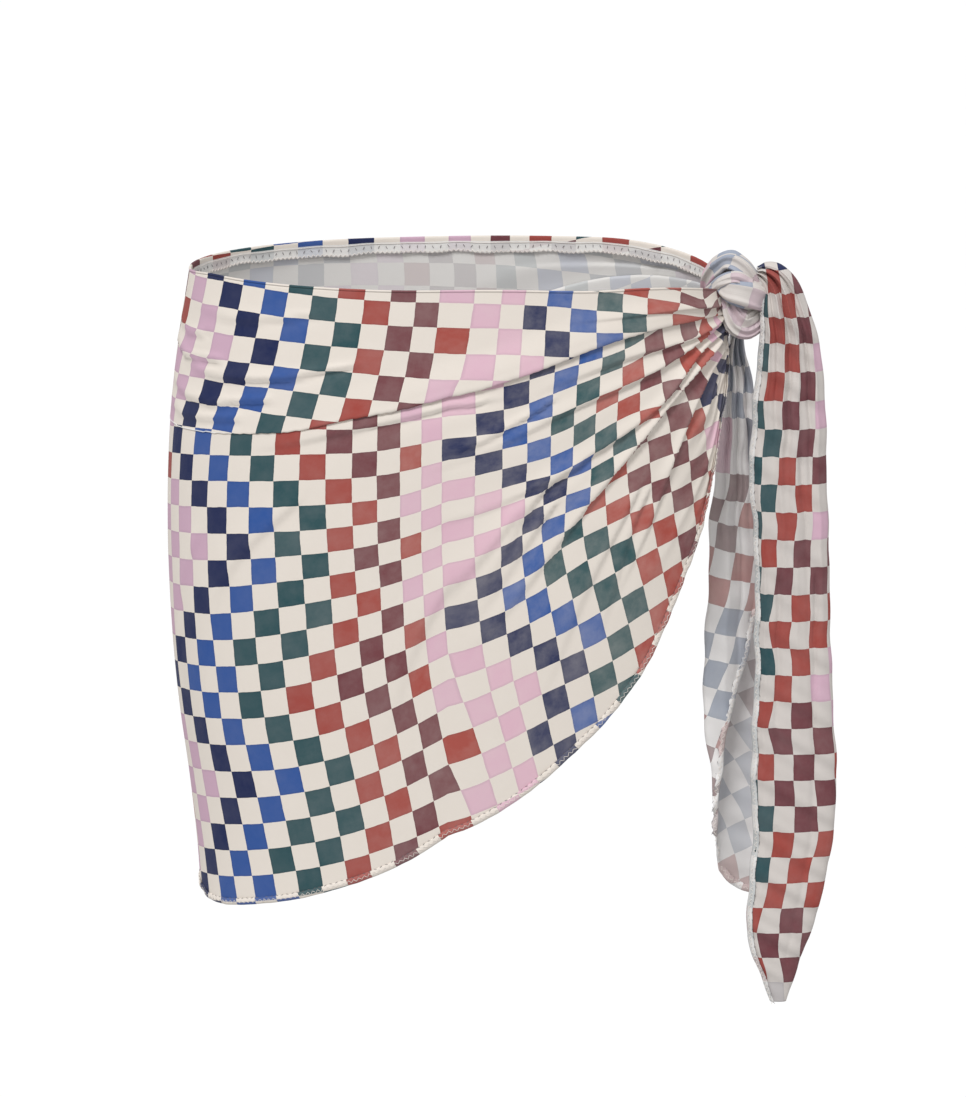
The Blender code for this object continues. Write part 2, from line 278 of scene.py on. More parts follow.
# %% Creases
# Each row is a rise, a width and the cloth hidden in the tuck, then its points' angles and drops.
FRONT_CREASES = (
    (0.0016, 0.0040, 0.003, (171, 0.020), (140, 0.013), (108, 0.016)),
    (0.0024, 0.0045, 0.008, (170, 0.024), (145, 0.033), (122, 0.041), (102, 0.060)),
    (0.0028, 0.0048, 0.010, (168, 0.027), (150, 0.035), (130, 0.051), (108, 0.073), (86, 0.113)),
    (0.0030, 0.0052, 0.013, (167, 0.031), (147, 0.044), (130, 0.075), (108, 0.110), (86, 0.150)),
    (0.0038, 0.0056, 0.034, (166, 0.035), (148, 0.051), (130, 0.084), (110, 0.143), (91, 0.232)),
    (0.0026, 0.0048, 0.014, (167, 0.039), (150, 0.062), (137, 0.103), (129, 0.145), (119, 0.198)),
    (0.0018, 0.0036, 0.005, (168, 0.042), (155, 0.065), (145, 0.102)),
    (0.0014, 0.0034, 0.003, (169, 0.044), (160, 0.063), (154, 0.083)),
    (0.0020, 0.0065, 0.005, (112, 0.106), (103, 0.125), (97, 0.160), (92, 0.200)),
    (0.0014, 0.0070, 0.002, (128, 0.125), (122, 0.160), (115, 0.224)),
    (0.0016, 0.0080, 0.003, (106, 0.130), (99, 0.165), (91, 0.215)),
    (0.0016, 0.0050, 0.004, (106, 0.064), (94, 0.090), (89, 0.102)),
    (0.0013, 0.0110, 0.000, (126, 0.120), (112, 0.190), (103, 0.262)),
    (0.0014, 0.0150, 0.000, (100, 0.130), (84, 0.220), (76, 0.300)),
    (0.0016, 0.0070, 0.002, (96, 0.064), (70, 0.086), (46, 0.104)),
    (0.0012, 0.0060, 0.001, (62, 0.014), (40, 0.021), (16, 0.018)),
    (0.0022, 0.0060, 0.003, (72, 0.044), (52, 0.056), (30, 0.059), (12, 0.053)),
    (0.0026, 0.0046, 0.003, (36, 0.048), (22, 0.052), (8, 0.047), (1, 0.043)),
    (0.0024, 0.0050, 0.003, (52, 0.070), (28, 0.078), (1, 0.069)),
    (0.0016, 0.0042, 0.001, (30, 0.033), (16, 0.036), (1, 0.030)),
    (0.0018, 0.0050, 0.002, (44, 0.085), (24, 0.090), (1, 0.085)),
    (0.0012, 0.0180, 0.000, (60, 0.130), (36, 0.200), (26, 0.300)),
    (0.0010, 0.0140, 0.000, (30, 0.160), (14, 0.240), (10, 0.360)),
)
BACK_CREASES = (
    (0.0015, 0.0050, 0.002, (170, 0.018), (140, 0.014), (118, 0.015), (96, 0.020)),
    (0.0022, 0.0055, 0.006, (170, 0.022), (146, 0.032), (124, 0.042), (100, 0.066)),
    (0.0030, 0.0060, 0.014, (168, 0.028), (146, 0.044), (128, 0.072), (108, 0.118), (88, 0.184)),
    (0.0032, 0.0062, 0.020, (168, 0.033), (150, 0.056), (132, 0.100), (116, 0.150), (100, 0.236)),
    (0.0024, 0.0055, 0.010, (168, 0.038), (154, 0.068), (140, 0.115), (132, 0.158), (124, 0.206)),
    (0.0016, 0.0045, 0.004, (168, 0.042), (158, 0.070), (152, 0.098), (146, 0.132)),
    (0.0016, 0.0140, 0.000, (112, 0.140), (94, 0.230), (84, 0.320)),
    (0.0014, 0.0075, 0.002, (64, 0.050), (38, 0.060), (10, 0.054)),
    (0.0014, 0.0180, 0.000, (70, 0.130), (46, 0.220), (38, 0.330)),
)
# Fine pleats where the cloth crowds into the knot: share down the gathered edge, how far each runs, height.
PLEATS = table(
    ("share", "runs", "rise"),
    (
        (0.06, 0.070, 0.0012), (0.17, 0.046, 0.0015), (0.27, 0.080, 0.0016), (0.38, 0.052, 0.0014),
        (0.50, 0.090, 0.0018), (0.61, 0.058, 0.0015), (0.74, 0.074, 0.0017), (0.85, 0.050, 0.0013),
        (0.95, 0.040, 0.0010),
    ),
)
PLEAT_WIDE = 0.030
print(f"{len(FRONT_CREASES)} creases in front, {len(BACK_CREASES)} behind, {len(PLEATS['rise'])} fine pleats")

# %% [markdown]
# A crease's profile depends on the distance from its line only: a round ridge above it, a sudden drop, and
# a trough below. Along the line it starts narrow at the knot, widens and fades out. The tuck shifts the
# print on both sides of the drop towards each other, because the cloth between them is hidden.

# %% The shape of a crease
CREASE_PARTS = 36
# How deep the trough is against the ridge, how sudden the drop into it is, and how far round a tuck the
# print shifts.
TROUGH = 0.6
TROUGH_WIDE = 1.5
DROP_SHARE = 0.4
SLIP_REACH = 0.022
# A crease's width at the knot, and what it gains on the way, as shares of the width given for it.
NARROW = 0.45
GAINS = 0.75


def near_line(places, line):
    """Distance of each place from a bent line, positive below it, the way down, and how far along that is."""
    best = np.full(len(places), np.inf)
    distance, along, down = np.zeros(len(places)), np.zeros(len(places)), np.zeros(places.shape)
    for i, (start, end) in enumerate(zip(line, line[1:])):
        step = end - start
        t = np.clip((places - start) @ step / (step @ step), 0, 1)
        gap = places - start - t[:, None] * step
        square_on = np.array((-step[1], step[0])) / np.hypot(*step)
        square_on = square_on * (1 if square_on @ np.array((0.15, 1.0)) > 0 else -1)
        far = np.hypot(gap[:, 0], gap[:, 1])
        closer = far < best
        best = np.where(closer, far, best)
        distance = np.where(closer, far * np.where(gap @ square_on > 0, 1, -1), distance)
        down[closer] = square_on
        along = np.where(closer, (i + t) / (len(line) - 1), along)
    return distance, down, along


def crease_rise(angle, drop, creases):
    """How far the creases push the cloth out at each place, and how far they shift the print there."""
    places = np.stack([across(angle).ravel(), drop.ravel()], -1)
    rise = np.zeros(len(places))
    slip = np.zeros(places.shape)
    for high, wide, tuck, *points in creases:
        corner = np.array(points, float)
        at = np.linspace(0, len(corner) - 1, CREASE_PARTS)
        flat = np.stack([across(corner[:, 0]), corner[:, 1]], -1)
        line = np.stack([read(at, np.arange(len(flat)), values) for values in flat.T], -1)
        distance, down, along = near_line(places, line)
        # The bare numbers here only shape the curves along a crease, from 0 at the knot to 1 at its end.
        width = wide * (NARROW + GAINS * smooth(along * 1.3))
        fade = smooth(along * 9 + 0.25) * (1 - along**2.2)
        fallen = smooth(distance / (DROP_SHARE * width))
        ridge = np.exp(-((np.minimum(distance, 0) / width) ** 2)) * (1 - fallen)
        trough = np.exp(-((distance / (TROUGH_WIDE * width)) ** 2)) * fallen
        rise += high * fade * (ridge - TROUGH * trough)
        taken = tuck * smooth(along * 4.5 - 0.15) * (1 - along) ** 1.5
        hidden = taken * (fallen - 0.5) * np.exp(-np.abs(distance) / SLIP_REACH)
        slip += hidden[:, None] * down
    return rise.reshape(angle.shape), slip.reshape(angle.shape + (2,))


def pleat_rise(share, from_knot):
    """The fine pleats by the knot, which follow lines of equal share."""
    rise = np.zeros(share.shape)
    for middle, runs, high in zip(*PLEATS.values()):
        ridge = np.exp(-(((share - middle) / PLEAT_WIDE) ** 2))
        rise += high * ridge * np.exp(-((from_knot / runs) ** 2))
    return rise


print("the first crease stands", round(float(FRONT_CREASES[0][0]) * 1000, 1), "mm high")

# %% [markdown]
# ## Where the print lies
# The print is a check. To lay it on the cloth, each place gets a column and a row number, and the material
# then only has to look at whole numbers. Above the drape fold the rows are level rings. Below it they
# swing up towards the knot. A thin-plate spline, the smoothest surface through a few given heights, spreads
# each short table of places over the cloth. The back is the mirror image of the front across the
# wearer's right side, so the check runs on round the hip.

# %% Print places
# Each row is an angle, a drop, and the print's column and row there.
PRINT_ABOVE = (
    (4, 0.00, -2.2, 0.9), (4, 0.04, -2.0, 3.4), (4, 0.08, -1.9, 5.8), (4, 0.12, -1.8, 8.2),
    (35, 0.00, 1.4, 1.1), (35, 0.04, 1.6, 3.5), (35, 0.08, 2.0, 6.1), (35, 0.12, 2.4, 8.5),
    (65, 0.00, 5.8, 0.9), (65, 0.04, 6.0, 3.5), (65, 0.08, 6.5, 6.0),
    (90, 0.00, 10.4, 0.8), (90, 0.04, 10.7, 3.3), (90, 0.08, 11.2, 5.9),
    (105, 0.00, 14.0, 0.6), (105, 0.04, 14.3, 3.2), (105, 0.08, 14.5, 5.9),
    (122, 0.00, 16.9, 0.1), (122, 0.04, 17.1, 3.2), (122, 0.08, 17.2, 5.9),
    (137, 0.012, 19.0, 1.0), (140, 0.005, 19.0, 0.0), (151, 0.010, 20.0, 0.0), (150, 0.018, 20.0, 2.0),
    (165, 0.012, 21.3, 0.0), (165, 0.022, 21.5, 2.4), (145, 0.04, 19.9, 4.6), (145, 0.08, 20.1, 7.5),
)
PRINT_BELOW = (
    (4, 0.07, -2.1, 5.0), (35, 0.08, 2.1, 6.1), (60, 0.09, 6.1, 7.2), (82, 0.075, 10.3, 6.7),
    (96, 0.062, 13.9, 6.4), (108, 0.05, 16.5, 6.4), (122, 0.04, 19.1, 6.6), (150, 0.03, 23.7, 8.3),
    (4, 0.14, -1.9, 9.1), (35, 0.14, 2.3, 9.7), (60, 0.14, 6.1, 10.2), (82, 0.13, 10.3, 10.3),
    (96, 0.12, 14.0, 10.9), (108, 0.10, 16.8, 10.3), (122, 0.085, 19.7, 11.0), (145, 0.07, 23.3, 11.5),
    (4, 0.22, -2.1, 13.7), (35, 0.22, 2.2, 14.2), (60, 0.20, 5.9, 13.9), (80, 0.19, 9.7, 14.4),
    (96, 0.175, 14.0, 15.1), (108, 0.155, 17.2, 15.5), (122, 0.14, 19.9, 15.8), (145, 0.12, 23.3, 15.6),
    (4, 0.31, -2.1, 18.7), (35, 0.30, 2.0, 18.7), (62, 0.29, 5.9, 19.0), (84, 0.28, 10.0, 20.1),
    (100, 0.25, 14.4, 20.2), (114, 0.22, 17.5, 19.6), (130, 0.19, 20.5, 19.2),
    (6, 0.41, -2.3, 24.2), (35, 0.41, 1.2, 24.8), (65, 0.39, 5.6, 24.8), (88, 0.35, 10.0, 24.1),
    (108, 0.30, 15.3, 23.5), (124, 0.25, 18.6, 22.0),
)
DECIMETRES = 10.0


def thin_plate(rows, flat):
    """A function of two place numbers that gives (column, row) smoothly through the table's places."""
    first, second, column, row = np.array(rows, float).T
    known = np.stack(flat(first, second), -1) * DECIMETRES
    values = np.stack([column, row], -1)

    def pull(points):
        far = np.linalg.norm(points[:, None] - known, axis=-1)
        return far**2 * np.log(np.maximum(far, 1e-9))

    plane = np.hstack([np.ones((len(known), 1)), known])
    whole = np.block([[pull(known), plane], [plane.T, np.zeros((3, 3))]])
    weights = np.linalg.solve(whole, np.vstack([values, np.zeros((3, 2))]))

    def placed(first, second, slip=0.0):
        points = (np.stack(flat(first, second), -1) + slip).reshape(-1, 2) * DECIMETRES
        found = pull(points) @ weights[:-3] + np.hstack([np.ones((len(points), 1)), points]) @ weights[-3:]
        return found.reshape(np.shape(first) + (2,))

    return placed


def on_hips(angle, drop):
    """The flat map of the hips: distance round and drop."""
    return across(angle), drop


print_above = thin_plate(PRINT_ABOVE, on_hips)
print_below = thin_plate(PRINT_BELOW, on_hips)
print("print at the middle of the waist:", print_above(np.array([90.0]), np.array([0.0])).round(2))

# %% [markdown]
# ## Building the wrap's grid
# The wrap is one grid of points. Its columns are fan lines, from the knot round the front, the wearer's
# right side and the back to just behind the knot, and its rows run from waist to hem. At each drape fold
# three blocks of rows meet: those above it, those of its turn, and those below. The back stops short of
# the knot, so a space stays open beside it, which only a view from the side shows.

# %% The wrap's grid
ROWS_ABOVE = 34
ROWS_BELOW = 146
FRONT_COLUMNS = 186
BACK_COLUMNS = 68
# The creases grow over this much cloth below the waist edge.
CALM_AT_WAIST = 0.012
# How far the cloth leans out just above the drape fold and lies back below it, as shares of its height.
LEANS_OUT = 0.9
LIES_BACK = 0.12
# Inside the turn the creases are weaker, and the print changes over from the upper places to the lower.
SHOWN_ROWS = 3
WEAKER = 0.6
CHANGES_AT = 3.5
CHANGES_OVER = 3


def wrap_side(side, count):
    """Points, outward directions and print places of one side, from the wearer's right to the knot."""
    ends = line_ends(spread_lines(count))
    if side == "front":
        ends["waist_drop"] = ends["waist_drop"] - front_rise(ends["waist_angle"])
    fold = fold_share(ends)
    length = np.hypot(ends["hem_drop"] - ends["waist_drop"], across(ends["hem_angle"] - ends["waist_angle"]))
    lap = LAP_DEEP * read(ends["waist_angle"], DRAPE["angle"], DRAPE["lap"])
    high = LAP_HIGH * lap / LAP_DEEP
    above = np.linspace(0, 1, ROWS_ABOVE, endpoint=False)[:, None] * fold
    turn = fold + TURN["down"][:, None] * lap / length
    last = turn[-1] + (1 - turn[-1]) * np.linspace(0, 1, ROWS_BELOW + 1)[1:, None]
    share = np.concatenate([above, turn, last])
    angle, drop = on_line(ends, share)

    lean = np.zeros(share.shape)
    lean[:ROWS_ABOVE] = LEANS_OUT * smooth(1 - (fold - above) * length / LAP_EASE) * high
    lean[ROWS_ABOVE : ROWS_ABOVE + len(turn)] = TURN["out"][:, None] * high
    lean[ROWS_ABOVE + len(turn) :] = -LIES_BACK * high * smooth(1 - (last - turn[-1]) * length / LAP_EASE)
    calm = smooth(share * length / CALM_AT_WAIST)
    creases, slip = crease_rise(angle, drop, FRONT_CREASES if side == "front" else BACK_CREASES)
    inside_turn = np.ones(share.shape)
    inside_turn[ROWS_ABOVE + SHOWN_ROWS : ROWS_ABOVE + len(turn)] = WEAKER
    from_knot = across(180.0) - across(angle)
    lean += (creases * inside_turn + pleat_rise(share, from_knot - from_knot.min())) * calm

    over = print_above(angle, drop, slip)
    under = print_below(angle, drop, slip)
    hidden = np.zeros(share.shape[0])
    hidden[ROWS_ABOVE : ROWS_ABOVE + len(turn)] = smooth((np.arange(len(turn)) - CHANGES_AT) / CHANGES_OVER)
    hidden[ROWS_ABOVE + len(turn) :] = 1
    place = over + (under - over) * hidden[:, None, None]
    if side == "back":
        edge = place[:, :1].copy()
        place[..., 0] = 2 * edge[..., 0] - place[..., 0]
        angle = 360 - angle * BACK_REACH
    points, out = hips(angle, drop)
    return points + out * lean[..., None], out, place


def whole_wrap():
    """Both sides joined at the wearer's right, with columns from the front's knot end to the back's."""
    front, back = wrap_side("front", FRONT_COLUMNS), wrap_side("back", BACK_COLUMNS)
    return [np.concatenate([f[:, ::-1], b[:, 1:]], axis=1) for f, b in zip(front, back)]


wrap_points, wrap_out, wrap_print = whole_wrap()
print("the wrap's grid:", wrap_points.shape[:2])

# %% [markdown]
# ## Colours and a small node toolbox
# Colours are given as screen values, 0 to 255, and turned into the linear values that shaders use. A few
# short helpers keep the node trees short enough to read.

# %% Colours and node helpers
INK = {
    "cream": (230, 221, 211),
    "navy": (21, 36, 82),
    "blue": (54, 92, 160),
    "green": (48, 84, 88),
    "rust": (170, 76, 66),
    "maroon": (119, 64, 69),
    "pink": (224, 184, 199),
    # painted shade: the cloth's cream made greyer, used as the ground of the knot and the long end
    "shaded_cream": (208, 201, 196),
    "slate": (138, 150, 172),
    "mauve": (196, 174, 182),
    "paper": (228, 228, 227),
    # painted light: a brighter ground that lifts the short end out of its shade
    "painted_light_ground": (246, 242, 240),
    "thread": (234, 226, 218),
    "shade": (92, 84, 88),
}


def paint(name, lighter=0.0):
    """A linear RGBA colour from the list of inks."""
    values = [((c / 255 + 0.055) / 1.055) ** 2.4 for c in INK[name]]
    return (*[c + (1 - c) * lighter for c in values], 1.0)


class Nodes:
    """Short ways to add and link shader nodes."""

    def __init__(self, tree):
        self.tree = tree

    def add(self, kind, inputs=(), **settings):
        node = self.tree.nodes.new(kind)
        for key, value in settings.items():
            setattr(node, key, value)
        for name, value in dict(inputs).items():
            socket = node.inputs[name]
            if isinstance(value, bpy.types.NodeSocket):
                self.tree.links.new(value, socket)
            else:
                socket.default_value = value
        return node

    def math(self, operation, *values):
        return self.add("ShaderNodeMath", enumerate(values), operation=operation).outputs[0]

    def ranged(self, value, start, end, most):
        """0 at the start and the most at the end, and held there past both."""
        return self.add("ShaderNodeMapRange", {0: value, 1: start, 2: end, 3: 0.0, 4: most}).outputs[0]

    def blend(self, how, factor, first, second):
        """Mix two colours."""
        inputs = {0: factor, 6: first, 7: second}
        return self.add("ShaderNodeMix", inputs, data_type="RGBA", blend_type=how).outputs[2]


print(len(INK), "inks")

# %% [markdown]
# ## The check
# Every other square is left cream. In each row the painted squares run navy, blue, green, rust, maroon and
# pink, in some rows with rust once more before the pink, and the whole order sways from row to row, so the
# colours climb the cloth in zigzag stripes. A stripe is charted by the rows at which its left edge turns. A
# curve node draws each edge, and a square takes the colour of the last edge that it has passed. Left of the
# first navy stripe the chart repeats.

# %% The stripes' chart
CHART_ROWS = 32
CHART_COLUMNS = 32
STRIPES = (
    ("navy", ((0, 0), (3, 3), (7, -1), (11, 3), (16, -2), (20, 2), (24, -2), (28, 2))),
    ("blue", ((0, 2), (3, 5), (7, 1), (11, 5), (16, 0), (20, 4), (24, 0), (28, 4))),
    ("green", (
        (0, 4), (2, 6), (3, 5), (4, 6), (7, 3), (10, 6), (11, 5), (12, 6), (15, 3), (16, 4), (17, 3),
        (20, 6), (23, 3), (26, 6),
    )),
    ("rust", (
        (0, 6), (2, 8), (3, 7), (4, 8), (7, 5), (10, 8), (11, 7), (12, 8), (13, 7), (14, 8), (17, 5),
        (20, 8), (21, 7), (22, 8), (24, 6), (26, 8),
    )),
    ("maroon", (
        (0, 8), (1, 9), (2, 8), (3, 9), (4, 8), (5, 9), (7, 7), (10, 10), (12, 8), (14, 10), (17, 7),
        (20, 10), (21, 9), (22, 10), (24, 8), (26, 10),
    )),
    ("rust", ((0, 10), (19, 10), (20, 12), (21, 11), (22, 12), (24, 10), (28, 12))),
    ("pink", (
        (0, 10), (2, 12), (4, 10), (5, 11), (6, 10), (8, 12), (10, 10), (12, 12), (14, 10), (16, 12),
        (17, 11), (18, 12), (19, 11), (21, 13), (23, 11), (24, 12),
    )),
    ("navy", (
        (0, 13), (1, 13), (3, 15), (5, 15), (8, 12), (12, 16), (16, 12), (20, 16), (22, 14), (23, 15),
        (24, 14), (28, 18),
    )),
    ("blue", ((0, 14), (3, 17), (5, 17), (8, 14), (12, 18), (16, 14), (20, 18), (22, 16), (24, 18))),
    ("green", (
        (0, 16), (3, 19), (5, 19), (8, 16), (11, 19), (12, 18), (13, 19), (16, 16), (19, 19), (21, 17),
        (22, 18), (24, 20),
    )),
    ("rust", (
        (0, 18), (3, 21), (5, 21), (8, 18), (10, 20), (12, 20), (14, 18), (17, 21), (18, 20), (19, 21),
        (21, 19), (24, 22),
    )),
    ("maroon", (
        (0, 20), (3, 22), (6, 20), (7, 21), (8, 20), (10, 22), (12, 20), (13, 21), (14, 20), (17, 23),
        (18, 22), (24, 24),
    )),
    ("rust", (
        (0, 22), (6, 24), (8, 22), (9, 23), (12, 24), (13, 23), (14, 24), (17, 23), (18, 24), (24, 26),
    )),
    ("pink", ((0, 23), (6, 24), (8, 24), (14, 24), (17, 25), (24, 27))),
    ("navy", ((0, 26), (9, 25), (12, 24), (14, 26), (24, 29))),
)
# The stripe at which the chart has come round to its start.
SECOND_NAVY = 7
print(len(STRIPES), "stripes charted over", CHART_ROWS, "rows")

# %% [markdown]
# ## From chart to colour
# A curve node holds each stripe's edge as a line with sharp turns, and reads it at a square's row. Counting
# the edges that a square has passed picks its ink from a stepped ramp. The dye isn't even: it thins out in
# clouds, squares differ a little, their rims are darker, and their sides waver as if drawn by hand. The
# painted squares are also darker and less washed out towards the wearer's right.

# %% Reading the chart
# How far the sides waver, in squares, then how strong the clouds, the unlike squares and the dark rims are.
WAVER = 0.06
CLOUDS = 0.14
UNLIKE = 0.10
DARK_RIM = 0.22
# Between which values of the noise a cloud grows, and how far from a square's middle its rim lies.
CLOUD_RANGE = (0.35, 0.72)
RIM_RANGE = (0.40, 0.49)
# The column where the painted squares start to darken, and the one where they are darkest.
DEEP_FROM = 13.0
DEEP_TO = 2.0
DEEP_TINT = (0.62, 0.66, 0.78, 1)
RIM_TINT = (0.45, 0.45, 0.5, 1)


def edge_curve(nodes, row, turns):
    """The column of a stripe's left edge in this row."""
    node = nodes.add("ShaderNodeFloatCurve", {"Value": nodes.math("DIVIDE", row, CHART_ROWS)})
    curve = node.mapping.curves[0]
    node.mapping.use_clip = False
    places = [(r / CHART_ROWS, 0.5 + c / (2 * CHART_COLUMNS)) for r, c in turns]
    if places[-1][0] < 1:
        places.append((1.0, places[-1][1]))
    curve.points[0].location = places[0]
    curve.points[1].location = places[-1]
    for place in places[1:-1]:
        curve.points.new(*place)
    for point in curve.points:
        point.handle_type = "VECTOR"
    node.mapping.update()
    share = nodes.math("SUBTRACT", node.outputs[0], 0.5)
    return nodes.math("ROUND", nodes.math("MULTIPLY", share, 2 * CHART_COLUMNS))


def square_parts(nodes, spot):
    """The column and the row of the square at a spot, and the spot's wavering place in them."""
    hand = nodes.add("ShaderNodeTexNoise", {"Vector": spot, "Scale": 1.7, "Detail": 3.0}).outputs["Color"]
    shaky = nodes.add("ShaderNodeVectorMath", {0: hand, 1: (0.5, 0.5, 0.5)}, operation="SUBTRACT").outputs[0]
    scaled = nodes.add("ShaderNodeVectorMath", {0: shaky, "Scale": WAVER}, operation="SCALE").outputs[0]
    moved = nodes.add("ShaderNodeVectorMath", {0: spot, 1: scaled}, operation="ADD").outputs[0]
    split = nodes.add("ShaderNodeSeparateXYZ", {0: moved})
    within = [split.outputs[i] for i in (0, 1)]
    return *[nodes.math("FLOOR", place) for place in within], within


def stripe_ink(nodes, stripes, second, column, row):
    """The ink of the last stripe that a square has passed. second is where the chart comes round again."""
    edges = [edge_curve(nodes, row, turns) for _, turns in stripes]
    if second:
        period = nodes.math("SUBTRACT", edges[second], edges[0])
        behind = nodes.math("SUBTRACT", nodes.math("SUBTRACT", edges[0], column), 0.5)
        turns = nodes.math("MAXIMUM", nodes.math("CEIL", nodes.math("DIVIDE", behind, period)), 0.0)
        column = nodes.math("ADD", column, nodes.math("MULTIPLY", turns, period))
    passed = 0.0
    for edge in edges:
        reached = nodes.math("GREATER_THAN", column, nodes.math("SUBTRACT", edge, 0.5))
        passed = nodes.math("ADD", passed, reached)
    steps = len(stripes) + 1
    ramp = nodes.add("ShaderNodeValToRGB", {0: nodes.math("DIVIDE", passed, steps)})
    ramp.color_ramp.interpolation = "CONSTANT"
    stops = ramp.color_ramp.elements
    stops[0].color = paint(stripes[-1][0])
    stops[1].position = 0.5 / steps
    stops[1].color = paint(stripes[0][0])
    for i, (ink, _) in enumerate(stripes[1:], start=1):
        stops.new((i + 0.5) / steps).color = paint(ink)
    return ramp.outputs[0]


print("a curve node holds one stripe's edge over", CHART_ROWS, "rows")

# %% [markdown]
# One node group holds the whole print, so each finish can use it and fade it in its own way. It reads the
# cloth's own UV map, gives the colour, and tells which squares are painted.

# %% The print
def print_group(name, stripes, second, bare="cream", deepest=1.0):
    """A node group that gives the print's colour and its painted share at the cloth's own UV places."""
    group = bpy.data.node_groups.new(name, "ShaderNodeTree")
    group.interface.new_socket("Color", in_out="OUTPUT", socket_type="NodeSocketColor")
    group.interface.new_socket("Painted", in_out="OUTPUT", socket_type="NodeSocketFloat")
    nodes = Nodes(group)
    spot = nodes.add("ShaderNodeUVMap", uv_map="cloth").outputs[0]
    column, row, within = square_parts(nodes, spot)
    parity = nodes.math("FLOORED_MODULO", nodes.math("ADD", column, row), 2.0)
    painted = nodes.math("LESS_THAN", parity, 0.5)
    ink = stripe_ink(nodes, stripes, second, column, row)

    cell = nodes.add("ShaderNodeCombineXYZ", {0: column, 1: row}).outputs[0]
    own = nodes.add("ShaderNodeTexWhiteNoise", {"Vector": cell}, noise_dimensions="3D").outputs["Value"]
    wash = nodes.add("ShaderNodeTexNoise", {"Vector": spot, "Scale": 1.1, "Detail": 5.0, "Roughness": 0.62})
    wet = nodes.ranged(wash.outputs[0], *CLOUD_RANGE, CLOUDS)
    deep = nodes.ranged(column, DEEP_FROM, DEEP_TO, deepest)
    faint = nodes.math("ADD", wet, nodes.math("MULTIPLY", own, UNLIKE))
    thin = nodes.math("MULTIPLY", faint, nodes.math("SUBTRACT", 1.0, nodes.math("MULTIPLY", deep, 0.80)))
    aside = [nodes.math("SUBTRACT", nodes.math("FRACT", place), 0.5) for place in within]
    from_middle = nodes.math("MAXIMUM", *[nodes.math("ABSOLUTE", distance) for distance in aside])
    rim = nodes.ranged(from_middle, *RIM_RANGE, DARK_RIM)
    washed = nodes.blend("MIX", thin, ink, paint("cream", 0.1))
    strong = nodes.blend("MULTIPLY", nodes.math("MULTIPLY", deep, 0.5), washed, DEEP_TINT)
    edged = nodes.blend("MULTIPLY", rim, strong, RIM_TINT)
    ground = nodes.blend("MIX", nodes.math("MULTIPLY", wet, 0.5), paint(bare), paint(bare, 0.5))
    colour = nodes.blend("MIX", painted, ground, edged)
    out = nodes.add("NodeGroupOutput", {"Color": colour, "Painted": painted})
    out.is_active_output = True
    return group


wrap_check = print_group("wrap_check", STRIPES, SECOND_NAVY)
print(len(wrap_check.nodes), "nodes in the check")

# %% [markdown]
# ## Cloth finishes
# The mesh is fine, matt and a little sheer. Its threads are far under a millimetre, so they are bump. The
# face shows the print in full. The back of the cloth shows it as a pale ghost, so the wall's inner faces
# get a second finish. It is paler than the wrong side alone would be: partly painted light, which stands in
# for the light that comes through the thin mesh into the hollow.

# %% Cloth materials
THREADS_PER_SQUARE = 42.0
MATT = 0.82


def cloth_material(name, group, paleness, crinkle=0.0004):
    """A printed mesh: the check, faded by paleness, with a fine thread bump and a faint sheen."""
    material = bpy.data.materials.new(name)
    material.use_nodes = True
    nodes = Nodes(material.node_tree)
    shader = material.node_tree.nodes["Principled BSDF"]
    check = nodes.add("ShaderNodeGroup", node_tree=group)
    colour = check.outputs["Color"]
    if paleness:
        colour = nodes.blend("MIX", paleness, colour, paint("paper"))
    material.node_tree.links.new(colour, shader.inputs["Base Color"])
    shader.inputs["Roughness"].default_value = MATT
    shader.inputs["Sheen Weight"].default_value = 0.04
    shader.inputs["Sheen Roughness"].default_value = 0.6
    shader.inputs["Specular IOR Level"].default_value = 0.15
    spot = nodes.add("ShaderNodeUVMap", uv_map="cloth").outputs[0]
    split = nodes.add("ShaderNodeSeparateXYZ", {0: spot})
    turn = 2 * math.pi * THREADS_PER_SQUARE
    threads = [nodes.math("SINE", nodes.math("MULTIPLY", split.outputs[i], turn)) for i in (0, 1)]
    weave = nodes.math("MULTIPLY", nodes.math("ADD", *threads), 0.25)
    slub = nodes.add("ShaderNodeTexNoise", {"Vector": spot, "Scale": 5.0, "Detail": 4.0, "Roughness": 0.6})
    height = nodes.math("ADD", weave, nodes.math("MULTIPLY", slub.outputs[0], 1.6))
    bump = nodes.add("ShaderNodeBump", {"Height": height, "Strength": 0.25, "Distance": crinkle})
    material.node_tree.links.new(bump.outputs[0], shader.inputs["Normal"])
    return material


face_cloth = cloth_material("printed_cloth", wrap_check, 0.0)
# Inner faces: the wrong side's pale print, made paler still as painted light through the mesh.
pale_back_and_painted_light = cloth_material("printed_cloth_back", wrap_check, 0.76)
print("finishes:", face_cloth.name, pale_back_and_painted_light.name)

# %% [markdown]
# ## From grid to cloth
# A grid of points becomes a mesh with a UV map named "cloth" that holds the print places. Solidify then
# gives it a real thickness, with the paler finish on the inner faces. The rows run down and the columns
# run towards the wearer's left or right, so one flag turns the faces outwards where needed.

# %% Grid to mesh
CLOTH_THICK = 0.0005


def add_wall(obj, thickness, inner=0):
    """Give a sheet its thickness. inner is added to the material number on its inner faces."""
    wall = obj.modifiers.new("wall", "SOLIDIFY")
    wall.thickness = thickness
    wall.offset = -1.0
    wall.material_offset = inner


